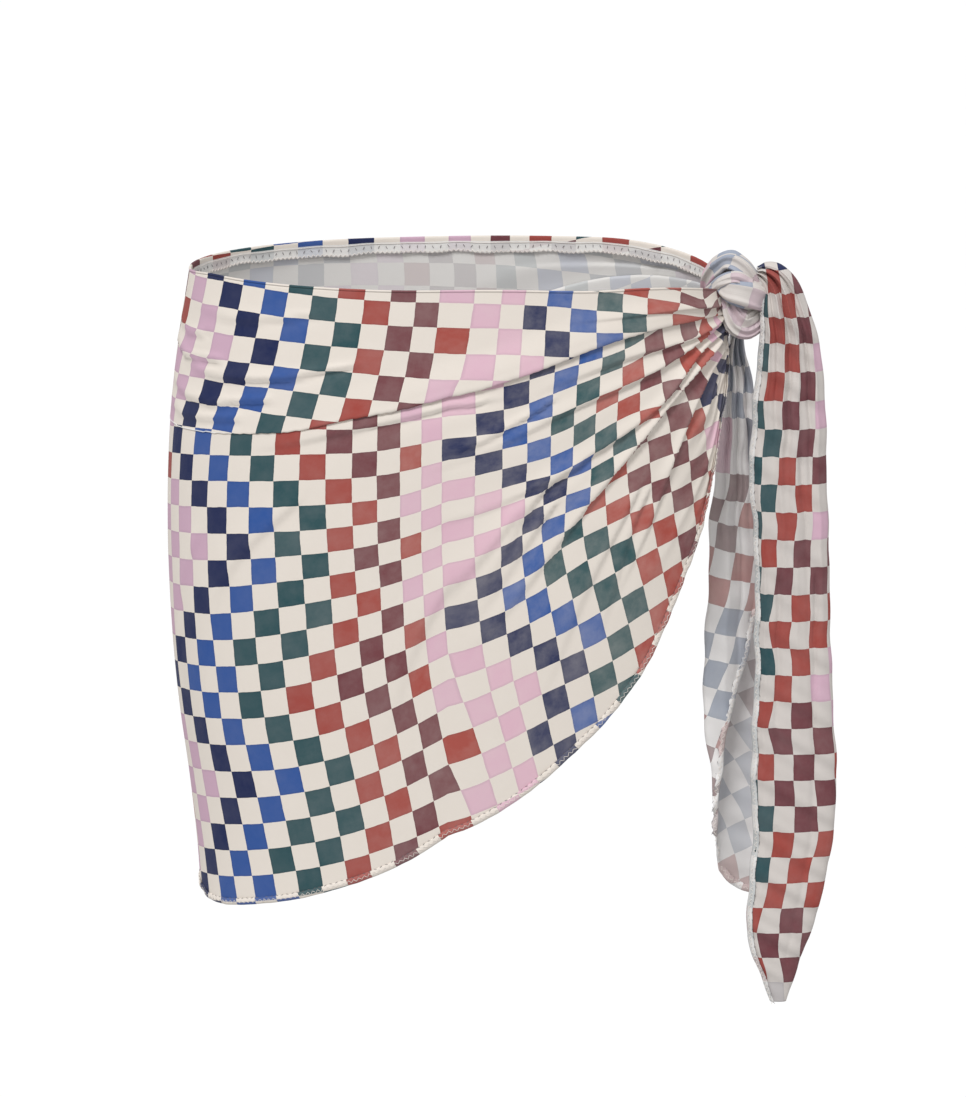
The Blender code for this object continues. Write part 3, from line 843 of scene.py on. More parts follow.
def grid_object(name, points, places, materials, thickness=CLOTH_THICK, flip=False):
    """A smooth cloth object from a grid of points and their print places."""
    rows, columns = points.shape[:2]
    mesh = bpy.data.meshes.new(name)
    corner = np.arange(rows * columns).reshape(rows, columns)
    quads = np.stack([corner[:-1, :-1], corner[1:, :-1], corner[1:, 1:], corner[:-1, 1:]], -1).reshape(-1, 4)
    if flip:
        quads = quads[:, ::-1]
    mesh.from_pydata(points.reshape(-1, 3).tolist(), [], quads.tolist())
    layer = mesh.uv_layers.new(name="cloth")
    layer.data.foreach_set("uv", places.reshape(-1, 2)[quads.ravel()].astype(np.float32).ravel())
    mesh.shade_smooth()
    obj = bpy.data.objects.new(name, mesh)
    bpy.context.scene.collection.objects.link(obj)
    for material in materials:
        mesh.materials.append(material)
    if thickness:
        add_wall(obj, thickness, inner=len(materials) - 1)
    return obj


wrap = grid_object("wrap", wrap_points, wrap_print, [face_cloth, pale_back_and_painted_light], flip=True)
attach(wrap, "root")
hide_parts("front_wrap", "back_wrap")
print("wrap faces:", len(wrap.data.polygons))

# %% [markdown]
# ## Stitches
# Overlock and cover stitches are short threads at even steps along an edge. Geometry Nodes lay them: the
# edge is a line with an outward direction stored on its points, the tree resamples it at the stitch
# spacing and puts a small thread on every point, leaning one way and then the other.

# %% The stitch tree
def stitch_tree():
    """Threads along a line of points. Sizes are inputs, in metres and radians."""
    tree = bpy.data.node_groups.new("stitches", "GeometryNodeTree")
    face = tree.interface
    face.new_socket("Line", in_out="INPUT", socket_type="NodeSocketGeometry")
    for name in ("Spacing", "Length", "Thickness", "Lean"):
        face.new_socket(name, in_out="INPUT", socket_type="NodeSocketFloat")
    face.new_socket("Seed", in_out="INPUT", socket_type="NodeSocketInt")
    face.new_socket("Thread", in_out="INPUT", socket_type="NodeSocketMaterial")
    face.new_socket("Stitches", in_out="OUTPUT", socket_type="NodeSocketGeometry")
    nodes = Nodes(tree)
    given = nodes.add("NodeGroupInput").outputs
    curve = nodes.add("GeometryNodeMeshToCurve", {0: given["Line"]}).outputs[0]
    every = {"Curve": curve, "Length": given["Spacing"]}
    steps = nodes.add("GeometryNodeResampleCurve", every, mode="LENGTH")
    ball = nodes.add("GeometryNodeMeshIcoSphere", {"Radius": 0.5, "Subdivisions": 2}).outputs[0]
    out = nodes.add("GeometryNodeInputNamedAttribute", {"Name": "out"}, data_type="FLOAT_VECTOR").outputs[0]
    along = nodes.add("GeometryNodeInputTangent").outputs[0]
    facing = nodes.add("FunctionNodeAxesToRotation", {"Primary Axis": out, "Secondary Axis": along})
    facing.primary_axis, facing.secondary_axis = "Z", "X"
    index = nodes.add("GeometryNodeInputIndex").outputs[0]
    side = nodes.math("SUBTRACT", nodes.math("MULTIPLY", nodes.math("MODULO", index, 2.0), 2.0), 1.0)
    unlike = {"Min": 0.75, "Max": 1.25, "Seed": given["Seed"]}
    chance = nodes.add("FunctionNodeRandomValue", unlike, data_type="FLOAT")
    chance = next(socket for socket in chance.outputs if socket.enabled)
    lean = nodes.math("MULTIPLY", nodes.math("MULTIPLY", side, given["Lean"]), chance)
    turn = nodes.add("ShaderNodeCombineXYZ", {"Z": lean}).outputs[0]
    leaning = nodes.add("FunctionNodeRotateRotation", {0: facing.outputs[0], 1: turn}, rotation_space="LOCAL")
    sizes = {"X": given["Length"], "Y": given["Thickness"], "Z": given["Thickness"]}
    size = nodes.add("ShaderNodeCombineXYZ", sizes).outputs[0]
    laying = {"Points": steps.outputs[0], "Instance": ball, "Rotation": leaning.outputs[0], "Scale": size}
    laid = nodes.add("GeometryNodeInstanceOnPoints", laying).outputs[0]
    real = nodes.add("GeometryNodeRealizeInstances", {0: laid}).outputs[0]
    done = nodes.add("GeometryNodeSetMaterial", {"Geometry": real, "Material": given["Thread"]}).outputs[0]
    nodes.add("NodeGroupOutput", {0: done})
    return tree


stitches = stitch_tree()
print(len(stitches.nodes), "nodes lay a row of stitches")

# %% [markdown]
# The thread is spun, so it gets a fine twist as bump and slightly uneven dye. It is a little smoother than
# the mesh. There are two: a pale one, and a darker one for the whip stitches.

# %% Thread
def thread_material(name, ink):
    """Spun thread: one colour, with a fine twist and slightly uneven dye."""
    material = bpy.data.materials.new(name)
    material.use_nodes = True
    nodes = Nodes(material.node_tree)
    shader = material.node_tree.nodes["Principled BSDF"]
    spot = nodes.add("ShaderNodeTexCoord").outputs["Object"]
    dye = nodes.add("ShaderNodeTexNoise", {"Vector": spot, "Scale": 420.0, "Detail": 2.0}).outputs[0]
    colour = nodes.blend("MIX", nodes.math("MULTIPLY", dye, 0.45), paint(ink), paint(ink, 0.35))
    material.node_tree.links.new(colour, shader.inputs["Base Color"])
    shader.inputs["Roughness"].default_value = 0.6
    twist = nodes.add("ShaderNodeTexNoise", {"Vector": spot, "Scale": 2600.0}).outputs[0]
    bump = nodes.add("ShaderNodeBump", {"Height": twist, "Strength": 0.3, "Distance": 0.0002}).outputs[0]
    material.node_tree.links.new(bump, shader.inputs["Normal"])
    return material


pale_thread = thread_material("pale_thread", "thread")
grey_thread = thread_material("grey_thread", "shade")
print("threads:", pale_thread.name, grey_thread.name)

# %% [markdown]
# Sewing runs the tree on a guide line and keeps the result as a plain mesh. Then the guide is removed. The
# modifier's inputs are set by their identifiers, before the guide is evaluated.

# %% Sewing
def sew(name, points, outward, thread, spacing, length, thickness, lean, seed=3):
    """A row of stitches along a line of points, as one plain mesh."""
    line = bpy.data.meshes.new(name + "_line")
    line.from_pydata(points.tolist(), [(i, i + 1) for i in range(len(points) - 1)], [])
    ways = line.attributes.new("out", "FLOAT_VECTOR", "POINT")
    ways.data.foreach_set("vector", outward.astype(np.float32).ravel())
    guide = bpy.data.objects.new(name + "_guide", line)
    bpy.context.scene.collection.objects.link(guide)
    laying = guide.modifiers.new("stitches", "NODES")
    laying.node_group = stitches
    given = {"Spacing": spacing, "Length": length, "Thickness": thickness, "Lean": lean}
    given.update({"Seed": seed, "Thread": thread})
    for item in stitches.interface.items_tree:
        if item.item_type == "SOCKET" and item.in_out == "INPUT" and item.name in given:
            laying[item.identifier] = given[item.name]
    evaluated = guide.evaluated_get(bpy.context.evaluated_depsgraph_get())
    mesh = bpy.data.meshes.new_from_object(evaluated)
    mesh.name = name
    bpy.data.objects.remove(guide)
    sewn = bpy.data.objects.new(name, mesh)
    bpy.context.scene.collection.objects.link(sewn)
    mesh.shade_smooth()
    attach(sewn, "root")
    print(name, "stitch faces:", len(mesh.polygons))


print("the stitch tree's inputs:", [item.name for item in stitches.interface.items_tree])

# %% [markdown]
# ## The waist hem
# The top edge is turned in once, about 11 mm deep, and cover-stitched. Seen through the open waist it is a
# pale puckered band with broken lines of thread, and the fold itself carries a thin line of the print's
# full colours. It is one strip that starts on the outside, goes over the edge and runs down inside.

# %% The turned edge
SQUARE = 0.0165
WAIST_HEM_DEEP = 0.011
# The strip's section from the outside over the edge: down and out from the waist edge.
HEM_STEPS = table(
    ("down", "out"),
    (
        (0.0012, 0.00035), (0.0004, 0.00040), (-0.0004, 0.00020), (-0.0007, -0.00030),
        (-0.0004, -0.00090), (0.0006, -0.00120), (0.0016, -0.00125),
    ),
)
OUTSIDE_ROWS = 3
HEM_INSIDE_ROWS = 12
FULL_COLOUR_ROWS = 8
PUCKER = 0.00035
UNEVEN_EDGE = 0.0007


def uneven_wave(distance, lengths, seed):
    """A sum of a few waves of unlike length, between about -1 and 1."""
    shift = np.random.default_rng(seed).uniform(0, 2 * np.pi, len(lengths))
    waves = [np.sin(2 * np.pi * distance / size + start) for size, start in zip(lengths, shift)]
    return sum(waves) / len(lengths) ** 0.5


def run_length(points):
    """Distance along a line of points."""
    return np.concatenate([[0], np.cumsum(np.linalg.norm(np.diff(points, axis=0), axis=1))])


def waist_hem():
    """The turned-in band's points and their print places. The part above the edge lies level with it."""
    top, out, place = wrap_points[0], wrap_out[0], wrap_print[0]
    run = run_length(top)
    inside = np.linspace(HEM_STEPS["down"][-1], WAIST_HEM_DEEP, HEM_INSIDE_ROWS)[1:]
    down = np.concatenate([HEM_STEPS["down"], inside])[:, None]
    lean = np.concatenate([HEM_STEPS["out"], np.full(len(inside), HEM_STEPS["out"][-1])])[:, None]
    deep = smooth((down - 0.001) / 0.006)
    pucker = uneven_wave(run + 0.4 * down, (0.0071, 0.0113, 0.0290), 5) * PUCKER * deep
    points = top + (lean - pucker)[..., None] * out
    points[..., 2] -= np.maximum(down, 0) + uneven_wave(run, (0.031, 0.052, 0.117), 8) * UNEVEN_EDGE * deep
    places = np.repeat(place[None], len(down), axis=0)
    places[..., 1] += np.concatenate([down[:OUTSIDE_ROWS], -down[OUTSIDE_ROWS:]]) / SQUARE
    return points, places


hem_points, hem_places = waist_hem()
print(f"the waist hem runs {run_length(wrap_points[0])[-1] * 1000:.0f} mm round the waist edge")

# %% [markdown]
# The band gets its own thin wall. Its first rows carry the print in full, and the rest shows it paler, as
# the faces' material numbers say. Three rows of thread lie on its inner side.

# %% Waist hem
pale_band = cloth_material("hem_band", wrap_check, 0.80)
HEM_THICK = 0.0003
THREAD_LIFT = 0.0004
WAIST_THREAD_THICK = 0.00042
# By row of the band: the thread, its spacing, its length and its lean.
WAIST_THREADS = {
    9: (pale_thread, 0.0021, 0.0024, 0.0),
    12: (grey_thread, 0.0052, 0.0024, 1.2),
    16: (pale_thread, 0.0016, 0.0030, 0.9),
}

band = grid_object("waist_hem", hem_points, hem_places, [face_cloth, pale_band], thickness=0)
for face in band.data.polygons:
    row = face.index // (hem_points.shape[1] - 1)
    face.material_index = 0 if row < FULL_COLOUR_ROWS else 1
add_wall(band, HEM_THICK)
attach(band, "root")
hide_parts("waist_hem_front", "waist_hem_back")
inward = -wrap_out[0]
for at, (thread, spacing, length, lean) in WAIST_THREADS.items():
    line = hem_points[at] + inward * THREAD_LIFT
    sew(f"waist_stitches_{at}", line, inward, thread, spacing, length, WAIST_THREAD_THICK, lean)
print("the band has", len(band.data.polygons), "faces")

# %% [markdown]
# ## The lower hem
# The curved bottom is rolled to the inside and overlocked, a 4 mm edge whose threads show as short slanted
# dashes. The strip wraps round the wrap's last row, and it turns up towards the knot with the gathers.

# %% Lower hem
LOWER_HEM = table(
    ("beyond", "out"),
    (
        (-0.0040, 0.0003), (-0.0034, 0.0007), (-0.0018, 0.0009), (-0.0003, 0.0008),
        (0.0006, 0.0000), (-0.0003, -0.0010), (-0.0018, -0.0012), (-0.0036, -0.0009),
    ),
)
HEM_RIPPLE = 0.0005


def unit(vectors):
    """Vectors of length one."""
    return vectors / np.maximum(np.linalg.norm(vectors, axis=-1, keepdims=True), 1e-9)


def rolled_strip(edge, inner, out, places, section, print_step):
    """A strip bent round an edge: section's first number runs beyond the edge, its second outwards."""
    along = unit(np.gradient(edge, axis=0))
    away = edge - inner
    beyond = unit(away - along * (away * along).sum(-1, keepdims=True))
    ripple = uneven_wave(run_length(edge), (0.013, 0.021, 0.047), 11) * HEM_RIPPLE
    lift = (section["out"][:, None] + ripple)[..., None] * out
    points = edge[None] + section["beyond"][:, None, None] * beyond + lift
    step = np.array(print_step) / SQUARE
    return points, places[None] + section["beyond"][:, None, None] * step


rolled, rolled_places = rolled_strip(
    wrap_points[-1], wrap_points[-5], wrap_out[-1], wrap_print[-1], LOWER_HEM, (0.0, 1.0)
)
bottom_out = wrap_out[-1]
hem_cloth = cloth_material("hem_edge", wrap_check, 0.06)
roll = grid_object("lower_hem", rolled, rolled_places, [hem_cloth], thickness=HEM_THICK, flip=True)
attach(roll, "root")
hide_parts("lower_hem_front", "lower_hem_back")
seam, rim = rolled[2] + bottom_out * 0.0002, rolled[0] + bottom_out * 0.0003
slant = {"spacing": 0.0019, "length": 0.0030, "thickness": 0.0003, "lean": 0.75}
whip = {"spacing": 0.0041, "length": 0.0022, "thickness": 0.0003, "lean": 0.35}
sew("hem_stitches", seam, bottom_out, pale_thread, **slant)
sew("hem_whip", rim, bottom_out, grey_thread, **whip, seed=7)
print(f"the lower hem runs {run_length(wrap_points[-1])[-1] * 1000:.0f} mm")

# %% [markdown]
# ## The hanging ends
# Past the knot the cloth goes on as two hanging ends. Each is a strip folded lengthwise, soft and flat,
# with shallow pleats that start tight at the knot and open out below. The print hangs straight down the
# long end. The short end shows its paler wrong side, with the check turned a little.

# %% Folds that run down an end
SHARP = 1.3


def lengthwise(share, height, folds):
    """Depth of lengthwise pleats. Each row: share at top and foot, heights of both, rise, half width."""
    rise = np.zeros(np.broadcast(share, height).shape)
    for top_share, foot_share, top, foot, high, wide in folds:
        t = np.clip((top - height) / (top - foot), 0, 1)
        middle = top_share + (foot_share - top_share) * t**0.8
        fade = smooth((top - height) / 0.012 + 1) * (1 - t) ** 0.7
        rise += high * fade * np.exp(-(np.abs((share - middle) / (wide * (0.6 + 0.6 * t))) ** SHARP))
    return rise


def flat_fold(turn, power=0.55):
    """Depth round a flat folded strip: like a sine, but flatter in front and behind."""
    return np.sign(np.sin(turn)) * np.abs(np.sin(turn)) ** power


def on_face(x, height):
    """The flat map of a hanging end."""
    return x, height


print("flat fold a quarter of the way round:", flat_fold(math.pi / 4).round(3))

# %% [markdown]
# ## The long end
# The front end starts narrow at the knot, turns over it and hangs 48 cm to a slanting tip. It is a strip
# folded lengthwise: its free edge is at the left in front, its fold at the right, and its second layer
# behind. Rows of a table give the places of both sides, and the check keeps its squares down the whole
# strip.

# %% The long end's shape
LONG_TAIL = table(
    ("left", "left_height", "right", "right_height", "middle_depth", "half_thick"),
    (
        (0.1955, 0.0010, 0.1975, 0.0065, -0.036, 0.0030),
        (0.1975, -0.0030, 0.2035, 0.0100, -0.038, 0.0045),
        (0.1995, -0.0090, 0.2125, 0.0085, -0.040, 0.0060),
        (0.2005, -0.0170, 0.2215, 0.0000, -0.041, 0.0075),
        (0.2005, -0.0270, 0.2290, -0.0140, -0.042, 0.0085),
        (0.1998, -0.0380, 0.2350, -0.0310, -0.042, 0.0090),
        (0.1990, -0.0500, 0.2386, -0.0480, -0.042, 0.0095),
        (0.1960, -0.0800, 0.2417, -0.0790, -0.043, 0.0105),
        (0.1945, -0.1255, 0.2437, -0.1255, -0.044, 0.0110),
        (0.1980, -0.1854, 0.2460, -0.1854, -0.045, 0.0110),
        (0.1995, -0.2390, 0.2482, -0.2390, -0.045, 0.0105),
        (0.1985, -0.2865, 0.2503, -0.2865, -0.045, 0.0105),
        (0.1983, -0.3273, 0.2536, -0.3273, -0.045, 0.0100),
        (0.1992, -0.3684, 0.2517, -0.3684, -0.045, 0.0095),
        (0.1982, -0.4028, 0.2470, -0.4028, -0.045, 0.0090),
        (0.1966, -0.4340, 0.2396, -0.4340, -0.045, 0.0080),
        (0.2016, -0.4569, 0.2314, -0.4569, -0.045, 0.0065),
        (0.2085, -0.4760, 0.2255, -0.4760, -0.045, 0.0045),
        (0.2125, -0.4862, 0.2225, -0.4862, -0.045, 0.0030),
    ),
)
LONG_ROWS = 230
LONG_AROUND = 120
# How far round the fold the strip goes, in degrees: from just behind its free edge to the back layer's.
LONG_TURN = (176, 480)
# The pleats and waves die out over the last stretch above the tip, and are weaker on the back layer.
LONG_TIP = 0.488
CALM_AT_TIP = 0.03
LONG_BEHIND = 0.8
# How high the slow waves are on the faces, and how far they push the sides.
LONG_FACE_WAVE = 0.0006
LONG_SIDE_WAVE = 0.0007
print(f"the long end hangs to {LONG_TAIL['left_height'][-1] * 1000:.0f} mm")

# %% [markdown]
# A few of its rows are placed by their height and by the four column lines that they cross, and the
# thin-plate spline fills in the rest. The stripes are charted as on the wrap. Pleats are rows too: where
# each starts and ends across the strip, and between which heights.

# %% The long end's print and pleats
# The row's number and height, then where its first four column lines cross it, in millimetres.
LONG_CHECK = (
    (1, 6, 202, 210, 218, 226),
    (3, -24, 205, 215, 223, 231),
    (6, -78, 202, 214, 225, 235),
    (10, -151, 201, 210, 224, 234),
    (14, -224, 201, 207, 222, 234),
    (18, -296, 201, 208, 223, 237),
    (22, -367, 201, 211, 225, 241),
    (26, -437, 197, 202, 217, 232),
)
LONG_PRINT = [
    (x, height, column, row)
    for row, height, *lines in LONG_CHECK
    for column, x in enumerate(lines, start=1)
]
LONG_STRIPES = (
    ("navy", ((0, -9), (28, -9))),
    ("green", ((0, 9), (1, 0), (27, 0), (28, -9))),
    ("rust", (
        (0, 9), (1, 1), (5, 1), (6, 2), (10, 2), (11, 1), (12, 1), (13, 2), (16, 2), (17, 1), (20, 1),
        (21, 2), (24, 2), (25, 1), (27, 1), (28, -9),
    )),
    ("maroon", (
        (0, 9), (1, 3), (5, 3), (6, 2), (8, 4), (10, 4), (12, 2), (14, 5), (15, 5), (16, 4), (18, 2),
        (19, 3), (20, 2), (21, 3), (22, 5), (24, 5), (25, 3), (26, 2), (27, 3), (28, -9),
    )),
    ("rust", (
        (0, 9), (1, 6), (3, 6), (4, 4), (5, 5), (6, 4), (7, 6), (9, 6), (10, 4), (11, 6), (12, 6),
        (13, 5), (14, 6), (15, 5), (16, 4), (17, 5), (18, 6), (19, 5), (20, 6), (27, 6), (28, -9),
    )),
    ("pink", (
        (0, 9), (1, 6), (3, 6), (4, 4), (5, 5), (6, 4), (7, 6), (9, 6), (10, 4), (11, 6), (14, 6),
        (15, 5), (16, 4), (17, 5), (18, 6), (27, 6), (28, -9),
    )),
    ("navy", ((0, 9), (1, 8), (27, 8), (28, -9))),
    # painted shade: past the check and at the tip the long end is the greyer cream
    ("shaded_cream", ((0, 19), (27, 19), (28, -9))),
)
# Each pleat's share at its top and foot, the heights of both, its rise and half its width.
LONG_FOLDS = (
    (0.14, 0.17, 0.012, -0.170, 0.0036, 0.045),
    (0.27, 0.30, 0.012, -0.130, -0.0040, 0.030),
    (0.40, 0.38, 0.012, -0.230, 0.0042, 0.045),
    (0.52, 0.47, 0.012, -0.120, -0.0056, 0.028),
    (0.63, 0.58, 0.010, -0.180, 0.0046, 0.045),
    (0.74, 0.78, 0.004, -0.160, -0.0046, 0.030),
    (0.87, 0.89, 0.000, -0.260, 0.0030, 0.045),
    (0.10, 0.14, -0.120, -0.470, 0.0020, 0.050),
    (0.30, 0.24, -0.200, -0.440, -0.0024, 0.050),
    (0.52, 0.56, -0.060, -0.360, 0.0020, 0.060),
    (0.66, 0.72, -0.120, -0.300, -0.0020, 0.040),
    (0.80, 0.66, -0.200, -0.480, -0.0026, 0.050),
)
# The check's places are in millimetres, and the grid's in metres.
MILLIMETRES = 1000
print(len(LONG_PRINT), "places of the check,", len(LONG_FOLDS), "pleats")

# %% [markdown]
# The section goes round a flattened oval, so the front layer, the fold and the back layer are one sheet.
# The pleats press in a little less on the back, and slow waves keep the sides from being straight.

# %% Building the long end
def long_tail():
    """The folded long end, from its free edge at the left round the front and the right to the back."""
    rows = np.arange(len(LONG_TAIL["left"]), dtype=float)
    spread = np.linspace(0, len(rows) - 1, LONG_ROWS)
    part = {name: read(spread, rows, values)[:, None] for name, values in LONG_TAIL.items()}
    turn = np.radians(np.linspace(*LONG_TURN, LONG_AROUND))[None]
    lean = (1 + np.cos(turn)) / 2
    x = part["left"] * (1 - lean) + part["right"] * lean
    z = part["left_height"] * (1 - lean) + part["right_height"] * lean
    front = turn < 2 * np.pi
    y = part["middle_depth"] + part["half_thick"] * flat_fold(turn)
    spots = thin_plate(LONG_PRINT, on_face)
    place = spots(x * MILLIMETRES, z * MILLIMETRES)
    fold = spots((part["right"] + 0 * z) * MILLIMETRES, z * MILLIMETRES)
    behind = np.stack([2 * fold[..., 0] - place[..., 0], place[..., 1]], -1)
    place = np.where(front[..., None], place, behind)
    end = smooth((z + LONG_TIP) / CALM_AT_TIP)
    y = y - lengthwise(lean, z, LONG_FOLDS) * np.where(front, 1.0, -LONG_BEHIND) * end
    y = y + LONG_FACE_WAVE * uneven_wave(z + 0.6 * x, (0.013, 0.021, 0.034), 21) * end
    x = x + LONG_SIDE_WAVE * uneven_wave(z, (0.031, 0.053, 0.097), 22) * end * (1 - 0.4 * lean)
    return np.stack([x, y, z], -1), place


# The long end's ground is the greyer cream, which is painted shade.
long_check = print_group("long_check", LONG_STRIPES, None, "shaded_cream", 0.8)
long_cloth = cloth_material("long_end_cloth", long_check, 0.0, crinkle=0.0011)
long_back = cloth_material("long_end_back", long_check, 0.55)
long_points, long_places = long_tail()
long_end = grid_object("long_tail_cloth", long_points, long_places, [long_cloth, long_back])
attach(long_end, "root")
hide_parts("long_tail")
print("the long end has", len(long_end.data.polygons), "faces")

# %% [markdown]
# ## Hems of the hanging ends
# Both ends are hemmed like the lower edge: a strip is bent round the free edge and sewn with a pale zigzag
# and a few darker whip stitches. One function makes both, because only the section, the finish and the
# spacing of the threads differ.

# %% The long end's hem
TAIL_HEM = table(
    ("beyond", "out"),
    (
        (-0.0042, 0.0006), (-0.0034, 0.0012), (-0.0012, 0.0015), (0.0010, 0.0012),
        (0.0019, 0.0002), (0.0010, -0.0010), (-0.0010, -0.0014), (-0.0032, -0.0008),
    ),
)
# The strip starts a little under the knot. Its edge line and the line inwards of it are two grid columns.
STRIP_FROM = 9
STRIP_EDGE = 4
STRIP_INNER = 12
END_THREAD_LIFT = 0.0003


def end_hem(end, lines, places, section, finish, zigzag, whip, flip=False):
    """The hem of an end. lines are its edge and one further in, a thread is its spacing and length."""
    facing = np.zeros(lines[0].shape)
    facing[:, 1] = -1
    points, laid = rolled_strip(*lines, facing, places, section, (1.0, 0.0))
    hem = grid_object(end + "_tail_hem", points, laid, [finish], thickness=HEM_THICK, flip=flip)
    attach(hem, "root")
    seam, rim = points[2] + facing * END_THREAD_LIFT, points[0] + facing * END_THREAD_LIFT
    sew(end + "_hem_stitches", seam, facing, pale_thread, *zigzag, thickness=0.0004, lean=0.8)
    sew(end + "_hem_whip", rim, facing, grey_thread, *whip, thickness=0.0003, lean=0.4)
    print(f"{end} end's hem: {run_length(lines[0])[-1] * 1000:.0f} mm")


end_hem(
    "long",
    (long_points[STRIP_FROM:, STRIP_EDGE], long_points[STRIP_FROM:, STRIP_INNER]),
    long_places[STRIP_FROM:, STRIP_EDGE],
    TAIL_HEM,
    cloth_material("long_end_hem_cloth", long_check, 0.72),
    zigzag=(0.0022, 0.0034),
    whip=(0.0060, 0.0024),
)

# %% [markdown]
# ## The short end
# The rear end hangs behind the long one, with its paler wrong side out. It is folded lengthwise too: a
# front layer with a slanting edge, a fold at the left and a longer back layer. Its lower end is cut on a
# slant, so a second table says how low the cloth reaches at each place round the fold.

# %% The short end's shape
SHORT_TAIL = table(
    ("height", "fold", "edge", "fold_depth", "edge_depth", "half_thick"),
    (
        (-0.0300, 0.1820, 0.1905, -0.018, -0.016, 0.0025),
        (-0.0400, 0.1815, 0.1920, -0.018, -0.014, 0.0035),
        (-0.0530, 0.1800, 0.1950, -0.018, -0.011, 0.0045),
        (-0.0700, 0.1785, 0.1990, -0.018, -0.008, 0.0055),
        (-0.0889, 0.1765, 0.2020, -0.018, -0.006, 0.0065),
        (-0.1223, 0.1735, 0.2055, -0.019, -0.004, 0.0075),
        (-0.1560, 0.1705, 0.2085, -0.020, -0.003, 0.0085),
        (-0.1932, 0.1690, 0.2100, -0.022, -0.002, 0.0090),
        (-0.2237, 0.1679, 0.2100, -0.023, -0.002, 0.0090),
        (-0.2853, 0.1666, 0.2095, -0.025, -0.003, 0.0085),
        (-0.3198, 0.1687, 0.2090, -0.025, -0.004, 0.0080),
        (-0.3426, 0.1732, 0.2085, -0.024, -0.005, 0.0075),
        (-0.3613, 0.1754, 0.2080, -0.023, -0.006, 0.0070),
        (-0.4250, 0.1760, 0.2070, -0.021, -0.008, 0.0055),
    ),
)
SHORT_END = table(
    ("place", "height"),
    (
        (0.00, -0.215), (0.12, -0.265), (0.25, -0.312), (0.38, -0.356), (0.48, -0.379),
        (0.56, -0.398), (0.68, -0.409), (0.82, -0.418), (1.00, -0.424),
    ),
)
SHORT_ROWS = 190
SHORT_AROUND = 110
# The strip starts at this turn, in degrees, and goes round by the second number.
SHORT_TURN = (-45, 270)
SHORT_BEHIND = 0.6
SHORT_FLATNESS = 0.7
SHORT_FACE_WAVE = 0.0007
SHORT_SIDE_WAVE = 0.0008
print(f"the short end hangs to {SHORT_END['height'][-1] * 1000:.0f} mm")

# %% [markdown]
# The check leans on this end, so each row of its table is one place where two lines of the check meet, and
# the step along the first line to the next meeting place. A loop adds the places on either side.

# %% The short end's print and pleats
# The line's number, where it meets a cross line, that cross line's number, then the step to the next
# meeting place across and up. Places and steps are in millimetres.
SHORT_CHECK = (
    (1, 183, -79, 1, 7, -1),
    (2, 183, -96, 1, 9, -1),
    (3, 182, -133, 1, 13, -2),
    (5, 176, -165, 1, 13, -4),
    (7, 169, -200, 1, 14, -4),
    (9, 174, -239, 2, 14, -4),
    (11, 176, -277, 3, 13, -4),
    (13, 174, -317, 4, 13, -5),
)
SHORT_PRINT = [
    (x + across_step * k, height + down_step * k, line, cross + k)
    for line, x, height, cross, across_step, down_step in SHORT_CHECK
    for k in (-1, 0, 1)
]
SHORT_STRIPES = (
    ("slate", ((0, -9), (9, -9))),
    ("navy", ((0, 2), (9, 2))),
    ("pink", ((0, 2), (1, 3), (9, 3))),
    ("maroon", ((0, 3), (9, 3))),
    ("rust", ((0, 6), (1, 7), (2, 4), (9, 4))),
    ("slate", ((0, 9), (1, 9), (2, 8), (3, 9), (9, 9))),
    ("rust", ((0, 12), (9, 12))),
    ("maroon", ((0, 13), (9, 13))),
    ("slate", ((0, 16), (9, 16))),
    ("rust", ((0, 20), (9, 20))),
)
SHORT_FOLDS = (
    (0.06, 0.10, -0.034, -0.130, 0.0040, 0.040),
    (0.17, 0.22, -0.034, -0.180, -0.0062, 0.030),
    (0.28, 0.34, -0.034, -0.150, 0.0050, 0.040),
    (0.38, 0.46, -0.034, -0.210, -0.0066, 0.028),
    (0.50, 0.56, -0.034, -0.150, 0.0046, 0.040),
    (0.60, 0.70, -0.034, -0.190, -0.0060, 0.030),
    (0.74, 0.82, -0.034, -0.160, 0.0044, 0.040),
    (0.86, 0.92, -0.034, -0.140, -0.0048, 0.030),
    (0.30, 0.36, -0.150, -0.360, 0.0020, 0.090),
    (0.55, 0.50, -0.120, -0.330, -0.0024, 0.050),
    (0.78, 0.66, -0.160, -0.330, -0.0022, 0.070),
)
print(len(SHORT_PRINT), "places of the check,", len(SHORT_FOLDS), "pleats")

# %% [markdown]
# The short end is built like the long one, only its rows are spread between the top and the slanting end.
# Its ground is a brighter ink, and that is painted light: it lifts this end out of the shade it hangs in,
# as the light that comes through the mesh would.

# %% Building the short end
# How far the back layer's check lies off the front's, in columns and rows.
BACK_LAYER_SHIFT = np.array((3.0, 1.0))


